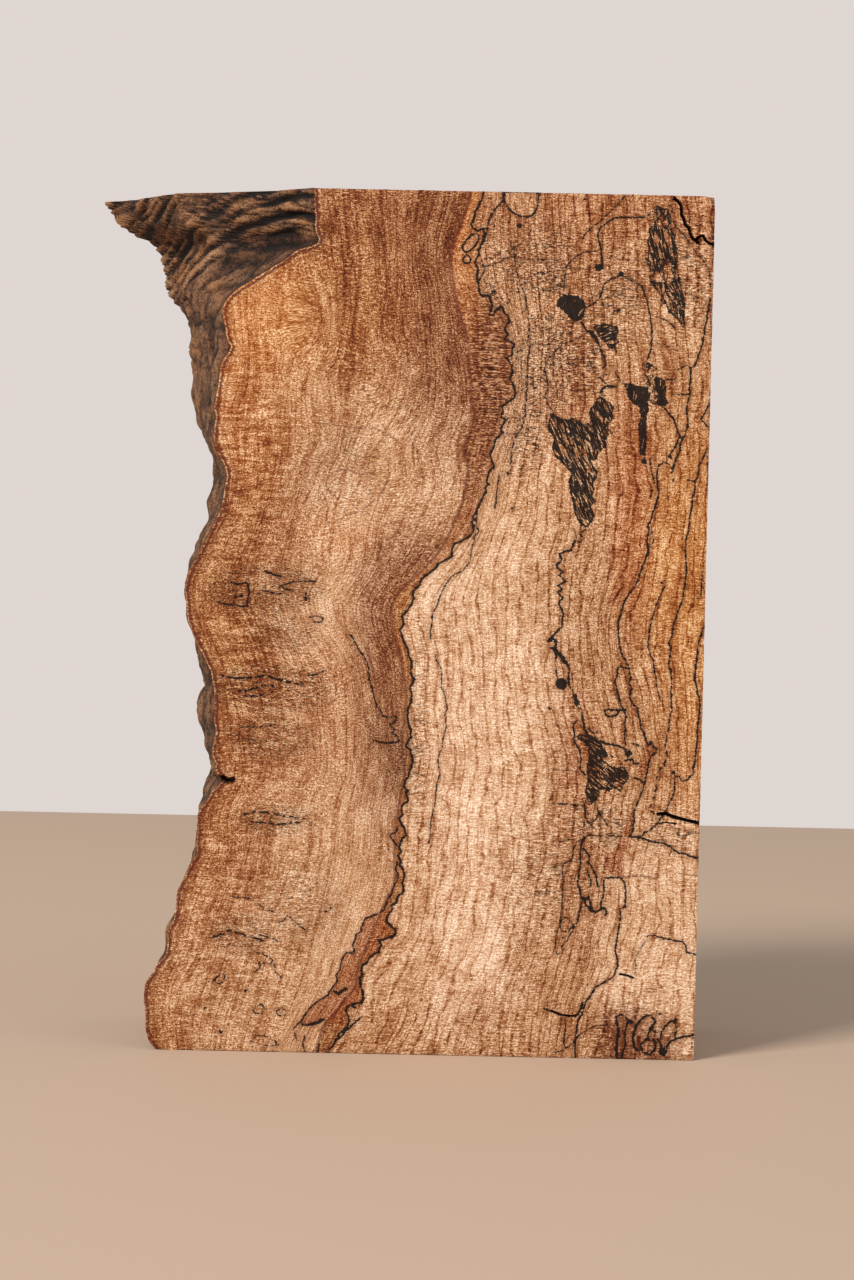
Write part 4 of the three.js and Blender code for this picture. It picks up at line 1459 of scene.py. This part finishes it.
class Board:
    """Places the nodes of one material."""

    def __init__(self, name):
        self.material = bpy.data.materials.new(name)
        self.material.use_nodes = True
        self.nodes = self.material.node_tree.nodes
        self.links = self.material.node_tree.links
        self.shader = self.nodes["Principled BSDF"]

    def feed(self, socket, value):
        if isinstance(value, bpy.types.NodeSocket):
            self.links.new(value, socket)
        elif value is not None:
            socket.default_value = value

    def attribute(self, name, output="Fac"):
        node = self.nodes.new("ShaderNodeAttribute")
        node.attribute_name = name
        return node.outputs[output]

    def math(self, operation, first, second=None):
        node = self.nodes.new("ShaderNodeMath")
        node.operation = operation
        self.feed(node.inputs[0], first)
        self.feed(node.inputs[1], second)
        return node.outputs[0]

    def add(self, *values):
        total = values[0]
        for value in values[1:]:
            total = self.math("ADD", total, value)
        return total

    def times(self, first, second):
        return self.math("MULTIPLY", first, second)

    def less(self, first, second):
        return self.math("SUBTRACT", first, second)

    def more_of(self, first, second):
        return self.math("MAXIMUM", first, second)

    def step(self, value, low, high, start=0.0, end=1.0):
        node = self.nodes.new("ShaderNodeMapRange")
        node.interpolation_type = "SMOOTHSTEP"
        self.feed(node.inputs[0], value)
        for socket, number in zip(node.inputs[1:5], (low, high, start, end)):
            socket.default_value = number
        return node.outputs[0]

    def stretch(self, vector, scale, shift=(0.0, 0.0, 0.0)):
        node = self.nodes.new("ShaderNodeVectorMath")
        node.operation = "MULTIPLY_ADD"
        self.feed(node.inputs[0], vector)
        node.inputs[1].default_value = scale
        node.inputs[2].default_value = shift
        return node.outputs[0]

    def noise(self, vector, detail=2.0, rough=0.5, distortion=0.0):
        node = self.nodes.new("ShaderNodeTexNoise")
        self.feed(node.inputs["Vector"], vector)
        node.inputs["Scale"].default_value = 1.0
        node.inputs["Detail"].default_value = detail
        node.inputs["Roughness"].default_value = rough
        node.inputs["Distortion"].default_value = distortion
        return node.outputs[0]

    def mix(self, share, first, second, blend="MIX"):
        node = self.nodes.new("ShaderNodeMix")
        node.data_type = "RGBA"
        node.blend_type = blend
        self.feed(node.inputs[0], share)
        self.feed(node.inputs[6], first)
        self.feed(node.inputs[7], second)
        return node.outputs[2]

    def deepen(self, colour, amount):
        """Raises a colour to a power: over one it grows darker and redder, as wood does."""
        node = self.nodes.new("ShaderNodeGamma")
        self.feed(node.inputs[0], colour)
        self.feed(node.inputs[1], amount)
        return node.outputs[0]

    def parts(self, vector):
        node = self.nodes.new("ShaderNodeSeparateXYZ")
        self.feed(node.inputs[0], vector)
        return node.outputs

    def bump(self, height, strength, distance):
        node = self.nodes.new("ShaderNodeBump")
        node.inputs["Strength"].default_value = strength
        node.inputs["Distance"].default_value = distance
        self.feed(node.inputs["Height"], height)
        return node.outputs[0]


def colour_of(tone):
    return (*linear(tone), 1.0)


def ground_colour(board, settings):
    """The plain tones of the wood, parted by the two long lines and the islands."""
    main_side = board.attribute("main_side")
    heart_side = board.attribute("heart_side")
    within = board.step(heart_side, -0.5, 0.7)
    bark_side = board.mix(
        within, board.attribute("band_tone", "Color"),
        board.attribute("bark_side_tone", "Color"),
    )
    ground = board.mix(
        board.step(main_side, -0.15, 0.15), board.attribute("pale_side_tone", "Color"),
        bark_side,
    )
    isle = board.step(board.attribute("pale_gap"), -0.2, 0.2, 1.0, 0.0)
    ground = board.mix(board.times(isle, 0.6), ground, colour_of(settings.wheat))
    orange = board.step(board.attribute("orange_gap"), -0.3, 0.3, 1.0, 0.0)
    return board.mix(board.times(orange, 0.78), ground, colour_of(settings.orange))


def wood_depth(board, grain, areas, ringed):
    """How much each place is deepened by rings, fibres, flecks, curl and mottling, with painted shadow and
    highlight on the torn grain, and the black flecks with painted shade in thin cracks.
    """
    torn, peppered, curly = areas
    growth = board.attribute("growth", "Vector")
    mottle = board.noise(board.stretch(growth, (0.085, 0.04, 0.045)), 3.0, 0.55)
    cloud = board.noise(board.stretch(grain, (0.20, 0.1, 0.16), (9, 2, 4)), 3.0, 0.6, 0.4)
    ring_wave = board.noise(board.stretch(growth, (0.23, 0.02, 0.012), (3, 5, 1)), 1.0, 0.5)
    ring_gap = board.math("ABSOLUTE", board.less(ring_wave, 0.5))
    ring_line = board.step(ring_gap, 0.0, 0.04, 1.0, 0.0)
    broken = board.noise(board.stretch(grain, (0.3, 0.3, 0.8), (2, 9, 9)), 2.0, 0.6)
    ring_dots = board.times(ring_line, board.step(broken, 0.38, 0.62, 0.25, 1.0))
    ring_fine = board.noise(board.stretch(growth, (0.9, 0.05, 0.035), (1, 5, 7)), 2.0, 0.6)
    fibre = board.noise(board.stretch(grain, (2.4, 0.5, 0.22)), 3.0, 0.65)
    fleck = board.noise(board.stretch(grain, (0.36, 0.3, 1.9), (5, 1, 3)), 3.0, 0.75, 0.3)
    dash = board.noise(board.stretch(grain, (0.55, 0.5, 2.4), (15, 11, 13)), 3.0, 0.7)
    speck = board.noise(board.stretch(grain, (1.1, 1.0, 1.5), (6, 2, 9)), 2.0, 0.75)
    grit = board.noise(board.stretch(grain, (2.1, 2.1, 2.1)), 2.0, 0.75)
    wave = board.noise(board.stretch(grain, (0.09, 0.05, 0.52), (2, 8, 6)), 2.0, 0.5, 0.5)
    swings = (
        (mottle, 1.0), (cloud, 0.9), (ring_fine, 0.9), (fibre, 0.8), (fleck, 2.4),
        (speck, 2.9), (grit, 3.2),
    )
    ripple = board.times(board.parts(growth)[0], 2.0 * math.pi / 4.7)
    ripple = board.math("SINE", board.add(ripple, board.times(mottle, 14.0)))
    regular = board.times(board.step(ripple, 0.74, 1.0), board.step(broken, 0.4, 0.65, 0.3, 1.0))
    regular = board.times(board.times(regular, ringed), board.step(cloud, 0.35, 0.6, 0.55, 1.15))
    total = board.add(board.times(ring_dots, 0.5), regular, 0.03)
    for pattern, amount in swings:
        total = board.add(total, board.times(board.less(pattern, 0.5), amount))
    curl = board.times(board.less(wave, 0.5), board.times(curly, 2.4))
    total = board.add(total, curl)
    dark_dash = board.step(dash, 0.60, 0.68)
    total = board.add(total, board.times(dark_dash, 0.5))
    # Painted shadow and highlight on the torn grain: its pits are darkened, and the places between them
    # lightened.
    torn_pit_shadow = board.times(board.step(fleck, 0.53, 0.60), torn)
    total = board.add(total, board.times(torn_pit_shadow, 1.1))
    torn_painted_highlight = board.times(board.step(fleck, 0.48, 0.42), torn)
    total = board.add(total, board.times(torn_painted_highlight, -0.40))
    thread = board.noise(board.stretch(grain, (0.24, 0.2, 1.05), (21, 4, 17)), 2.0, 0.55, 0.4)
    threads = board.times(board.step(thread, 0.50, 0.60), board.step(cloud, 0.36, 0.62, 0.2, 1.0))
    total = board.add(total, board.times(board.times(threads, 0.42), ringed), -0.08)
    # Painted shade: thin cracks in the torn areas are drawn as black lines.
    rift = board.noise(board.stretch(grain, (0.045, 0.05, 0.17), (33, 7, 2)), 3.0, 0.6, 0.8)
    rift_gap = board.math("ABSOLUTE", board.less(rift, 0.5))
    rift_shade = board.times(board.step(rift_gap, 0.006, 0.022, 1.0, 0.0), board.step(torn, 0.15, 0.6))
    rift_shade = board.times(rift_shade, board.step(broken, 0.36, 0.5))
    pepper_and_rift_shade = board.times(board.step(dash, 0.525, 0.565), board.step(peppered, 0.12, 0.55))
    crumb = board.times(board.step(dash, 0.57, 0.61), board.step(torn, 0.4, 1.0))
    pepper_and_rift_shade = board.more_of(board.more_of(pepper_and_rift_shade, crumb), rift_shade)
    return total, fleck, grit, pepper_and_rift_shade, torn_pit_shadow


def wood_material(settings):
    """Sawn burl wood with its spalting."""
    board = Board("spalted_burl_wood")
    grain = board.attribute("grain", "Vector")
    areas = board.parts(board.attribute("areas", "Vector"))
    ground = ground_colour(board, settings)
    ringed = board.step(board.attribute("main_side"), -1.0, 1.0, 1.0, 0.25)
    depth, fleck, grit, pepper_and_rift_shade, torn = wood_depth(board, grain, areas, ringed)
    colour = board.deepen(ground, board.more_of(board.add(depth, 1.0), 0.4))
    shade = board.step(depth, -1.6, 2.0, 1.42, 0.50)
    colour = board.mix(1.0, colour, shade, "MULTIPLY")

    fine = board.noise(board.stretch(grain, (1.1, 1.1, 1.1), (4, 4, 4)), 3.0, 0.7)
    jag = board.noise(board.stretch(grain, (0.5, 0.5, 0.6), (7, 1, 2)), 1.0, 0.5)
    tremble = board.add(
        board.times(board.less(fine, 0.5), 1.7), board.times(board.less(jag, 0.5), 1.1))
    brown = board.add(board.attribute("brown_gap"), tremble)
    brown_ink = board.step(brown, -0.35, 0.45, 1.0, 0.0)
    colour = board.mix(board.times(brown_ink, 0.62), colour, colour_of(settings.cambium))
    halo = board.step(board.attribute("ink_gap"), 0.1, 1.7, 0.30, 0.0)
    colour = board.mix(halo, colour, colour_of(settings.walnut))
    # Black flecks, and painted shade in the thin cracks of the torn areas.
    colour = board.mix(board.times(pepper_and_rift_shade, 0.85), colour, colour_of(settings.ink))

    swirls = board.attribute("swirls", "Vector")
    openness = board.parts(swirls)[2]
    streak = board.noise(board.stretch(swirls, (0.7, 0.125, 0.0)), 3.0, 0.6, 1.8)
    limit = board.less(0.70, board.times(openness, 0.26))
    opened = board.step(board.less(streak, limit), -0.01, 0.015)
    patch_gap = board.add(board.attribute("patch_gap"), tremble)
    core = board.step(patch_gap, -0.15, 0.15, 1.0, 0.0)
    away = board.step(patch_gap, -1.0, -0.3, 1.0, 0.0)
    filled = board.times(core, board.less(1.0, board.times(opened, away)))
    line_ink = board.step(
        board.add(board.attribute("ink_gap"), tremble), -0.16, 0.12, 1.0, 0.0)
    ink = board.more_of(filled, line_ink)
    ink_tone = board.mix(
        board.step(fine, 0.5, 0.9, 0.0, 0.25), colour_of(settings.ink),
        colour_of(settings.cambium))
    colour = board.mix(board.times(ink, 0.97), colour, ink_tone)

    bark_gap = board.add(board.attribute("bark_gap"), board.times(tremble, 1.6))
    under = board.times(
        board.step(bark_gap, 0.35, 0.75), board.step(bark_gap, 1.3, 2.1, 1.0, 0.0))
    colour = board.mix(board.times(under, 0.9), colour, colour_of(settings.cambium))
    second = board.times(
        board.step(bark_gap, 2.8, 3.4), board.step(bark_gap, 3.6, 4.4, 1.0, 0.0))
    colour = board.mix(board.times(second, 0.45), colour, colour_of(settings.walnut))
    # Painted shade: the open cracks are darkened with the dark bark tone as they deepen.
    crack_shade = board.step(board.attribute("crack_depth"), 0.05, 1.2)
    colour = board.mix(board.times(crack_shade, 0.85), colour, colour_of(settings.bark_dark_and_shade))

    shader = board.shader
    board.links.new(colour, shader.inputs["Base Color"])
    board.links.new(board.step(grit, 0.2, 0.8, 0.52, 0.74), shader.inputs["Roughness"])
    shader.inputs["Specular IOR Level"].default_value = 0.2
    height = board.add(board.times(fleck, 0.5), board.times(grit, 0.5), board.times(torn, -0.8))
    board.links.new(board.bump(height, 0.5, 0.35 * MM), shader.inputs["Normal"])
    return board.material


def bark_material(settings):
    """The live edge: dark furrows, tan crests, and black speckle. The furrows' dark is partly painted shade
    and the crests' light partly a painted highlight.
    """
    board = Board("burl_bark")
    grain = board.attribute("grain", "Vector")
    relief = board.attribute("relief")
    broad = board.noise(board.stretch(grain, (0.07, 0.07, 0.09)), 4.0, 0.6)
    lumps = board.noise(board.stretch(grain, (0.35, 0.3, 0.5), (3, 1, 2)), 4.0, 0.65)
    fine = board.noise(board.stretch(grain, (1.4, 1.4, 1.9), (8, 6, 7)), 3.0, 0.7)
    ridge = board.attribute("ridge")
    height = board.add(
        board.times(relief, 0.32), board.times(board.less(lumps, 0.5), 4.0),
        board.times(board.less(fine, 0.5), 6.0), board.times(board.less(broad, 0.5), 3.2),
        board.times(board.less(ridge, 0.62), 3.4),
        board.step(board.parts(grain)[2], 300.0, 345.0, 0.05, -0.55),
    )
    # Painted shade and highlight, partly the bark's own tones: dark bark in the low furrows, light bark on
    # the high crests, and darker towards the top.
    colour = board.mix(
        board.step(height, -1.0, 0.2), colour_of(settings.bark_dark_and_shade),
        colour_of(settings.bark_mid))
    colour = board.mix(
        board.step(height, 0.1, 1.35), colour, colour_of(settings.bark_light_and_highlight))
    colour = board.deepen(colour, board.step(broad, 0.3, 0.7, 0.85, 1.2))
    speckle = board.step(board.add(fine, board.times(lumps, 0.6)), 0.88, 0.98)
    colour = board.mix(board.times(speckle, 0.8), colour, colour_of(settings.bark_dark_and_shade))
    board.links.new(colour, board.shader.inputs["Base Color"])
    board.shader.inputs["Roughness"].default_value = 0.78
    board.shader.inputs["Specular IOR Level"].default_value = 0.3
    bumps = board.add(lumps, board.times(fine, 0.6), board.times(ridge, 0.7))
    board.links.new(board.bump(bumps, 1.0, 1.6 * MM), board.shader.inputs["Normal"])
    return board.material


def plain_material(name, tone, roughness):
    board = Board(name)
    board.shader.inputs["Base Color"].default_value = colour_of(tone)
    board.shader.inputs["Roughness"].default_value = roughness
    board.shader.inputs["Specular IOR Level"].default_value = 0.2
    return board.material


# ---------------------------------------------------------------------------------------------
# Operators
# ---------------------------------------------------------------------------------------------


class BURL_OT_block(bpy.types.Operator):
    """Build the burl block with its bark and figure"""

    bl_idname = "burl.block"
    bl_label = "Burl Block"
    bl_options = {"REGISTER", "UNDO"}

    def execute(self, context):
        settings = context.scene.burl_settings
        figure = Figure(settings)
        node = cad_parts["maple_burl"]
        points, faces, sheets, relief, rims = block_mesh(node, figure, settings)
        points, faces, relief = weld(points, faces, relief)
        shaped, sink = carve(points, settings)
        mesh = bpy.data.meshes.new("spalted_burl_block")
        mesh.from_pydata(to_scene(shaped).tolist(), [], faces)
        block = bpy.data.objects.new("spalted_burl_block", mesh)
        context.collection.objects.link(block)

        write_attributes(mesh, points, sink, relief, rims, figure)
        unfold(mesh, points, sheets)
        mesh.materials.append(wood_material(settings))
        mesh.materials.append(bark_material(settings))
        mesh.polygons.foreach_set("material_index", (sheets == 0).astype(np.int32))

        bpy.ops.object.select_all(action="DESELECT")
        block.select_set(True)
        context.view_layer.objects.active = block
        bpy.ops.object.mode_set(mode="EDIT")
        bpy.ops.mesh.select_all(action="SELECT")
        bpy.ops.mesh.normals_make_consistent(inside=False)
        bpy.ops.object.mode_set(mode="OBJECT")
        bpy.ops.object.shade_smooth_by_angle(angle=math.radians(SMOOTH_ANGLE))

        check = bmesh.new()
        check.from_mesh(mesh)
        open_edges = sum(1 for edge in check.edges if not edge.is_manifold)
        check.free()
        if open_edges:
            raise RuntimeError("The block has %d open edges" % open_edges)
        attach(block, "root")
        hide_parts("maple_burl")
        return {"FINISHED"}


class BURL_OT_stage(bpy.types.Operator):
    """Lay the floor, and set up the light around it and the camera"""

    bl_idname = "burl.stage"
    bl_label = "Stage"
    bl_options = {"REGISTER", "UNDO"}

    def execute(self, context):
        settings = context.scene.burl_stage_settings
        bpy.ops.object.select_all(action="DESELECT")
        bpy.ops.mesh.primitive_plane_add(
            size=FLOOR_SIZE, location=(0.0, FLOOR_END - FLOOR_SIZE / 2.0, 0.0))
        floor = context.active_object
        floor.name = "floor"
        floor.data.materials.append(plain_material("pale_floor", settings.floor_tone, 0.75))

        key = self.lamp(
            context, "key_lamp", azimuth=45.0, elevation=43.0, distance=4.0, size=1.1,
            power=settings.key_power)
        key.data.color = KEY_COLOUR
        fill = self.lamp(
            context, "fill_lamp", azimuth=-60.0, elevation=30.0, distance=2.2, size=1.2,
            power=settings.fill_power)
        fill.data.color = FILL_COLOUR

        world = bpy.data.worlds.new("soft_room")
        context.scene.world = world
        world.use_nodes = True
        room = world.node_tree
        light = room.nodes["Background"]
        light.inputs["Color"].default_value = (*SKY_COLOUR, 1.0)
        light.inputs["Strength"].default_value = settings.sky_strength
        seen = room.nodes.new("ShaderNodeBackground")
        seen.inputs["Color"].default_value = (*linear(settings.room_tone), 1.0)
        ray = room.nodes.new("ShaderNodeLightPath")
        either = room.nodes.new("ShaderNodeMixShader")
        room.links.new(ray.outputs["Is Camera Ray"], either.inputs[0])
        room.links.new(light.outputs[0], either.inputs[1])
        room.links.new(seen.outputs[0], either.inputs[2])
        room.links.new(either.outputs[0], room.nodes["World Output"].inputs["Surface"])

        camera_data = bpy.data.cameras.new("camera")
        camera_data.lens = settings.lens
        camera_data.sensor_width = SENSOR_WIDTH
        camera_data.clip_end = CAMERA_REACH
        camera = bpy.data.objects.new("camera", camera_data)
        context.collection.objects.link(camera)
        camera.location = (
            CAD_HIGH.x - settings.eye_side, CAD_LOW.y - settings.distance, settings.eye_height)
        tilt = Euler((math.radians(90.0) - settings.pitch, 0.0, 0.0)).to_matrix()
        lean = Euler((0.0, 0.0, settings.roll)).to_matrix()
        camera.rotation_euler = (tilt @ lean).to_euler()
        context.scene.camera = camera
        context.scene.view_settings.view_transform = "Standard"
        context.scene.view_settings.look = "None"
        return {"FINISHED"}

    @staticmethod
    def lamp(context, name, azimuth, elevation, distance, size, power):
        """A square lamp that looks at the middle of the block, to the left of straight ahead."""
        data = bpy.data.lights.new(name, "AREA")
        data.size = size
        data.energy = power
        lamp = bpy.data.objects.new(name, data)
        context.collection.objects.link(lamp)
        turn, rise = math.radians(azimuth), math.radians(elevation)
        way = Vector((
            -math.sin(turn) * math.cos(rise), -math.cos(turn) * math.cos(rise), math.sin(rise)))
        lamp.location = Vector((0.0, 0.0, HEIGHT * MM / 2.0)) + way * distance
        lamp.rotation_euler = way.to_track_quat("Z", "Y").to_euler()
        return lamp


class BURL_PT_panel(bpy.types.Panel):
    """Builds the burl block and its stage"""

    bl_idname = "BURL_PT_panel"
    bl_label = "Maple Burl"
    bl_space_type = "VIEW_3D"
    bl_region_type = "UI"
    bl_category = "Burl"

    def draw(self, context):
        layout = self.layout
        for settings in (context.scene.burl_settings, context.scene.burl_stage_settings):
            column = layout.column()
            for name in settings.__annotations__:
                column.prop(settings, name)
        layout.operator(BURL_OT_block.bl_idname)
        layout.operator(BURL_OT_stage.bl_idname)


CLASSES = (BurlSettings, StageSettings, BURL_OT_block, BURL_OT_stage, BURL_PT_panel)


def register():
    for cls in CLASSES:
        bpy.utils.register_class(cls)
    bpy.types.Scene.burl_settings = PointerProperty(type=BurlSettings)
    bpy.types.Scene.burl_stage_settings = PointerProperty(type=StageSettings)


def unregister():
    del bpy.types.Scene.burl_stage_settings
    del bpy.types.Scene.burl_settings
    for cls in reversed(CLASSES):
        bpy.utils.unregister_class(cls)


def main():
    register()
    bpy.ops.burl.block()
    bpy.ops.burl.stage()


if __name__ == "__main__":
    main()
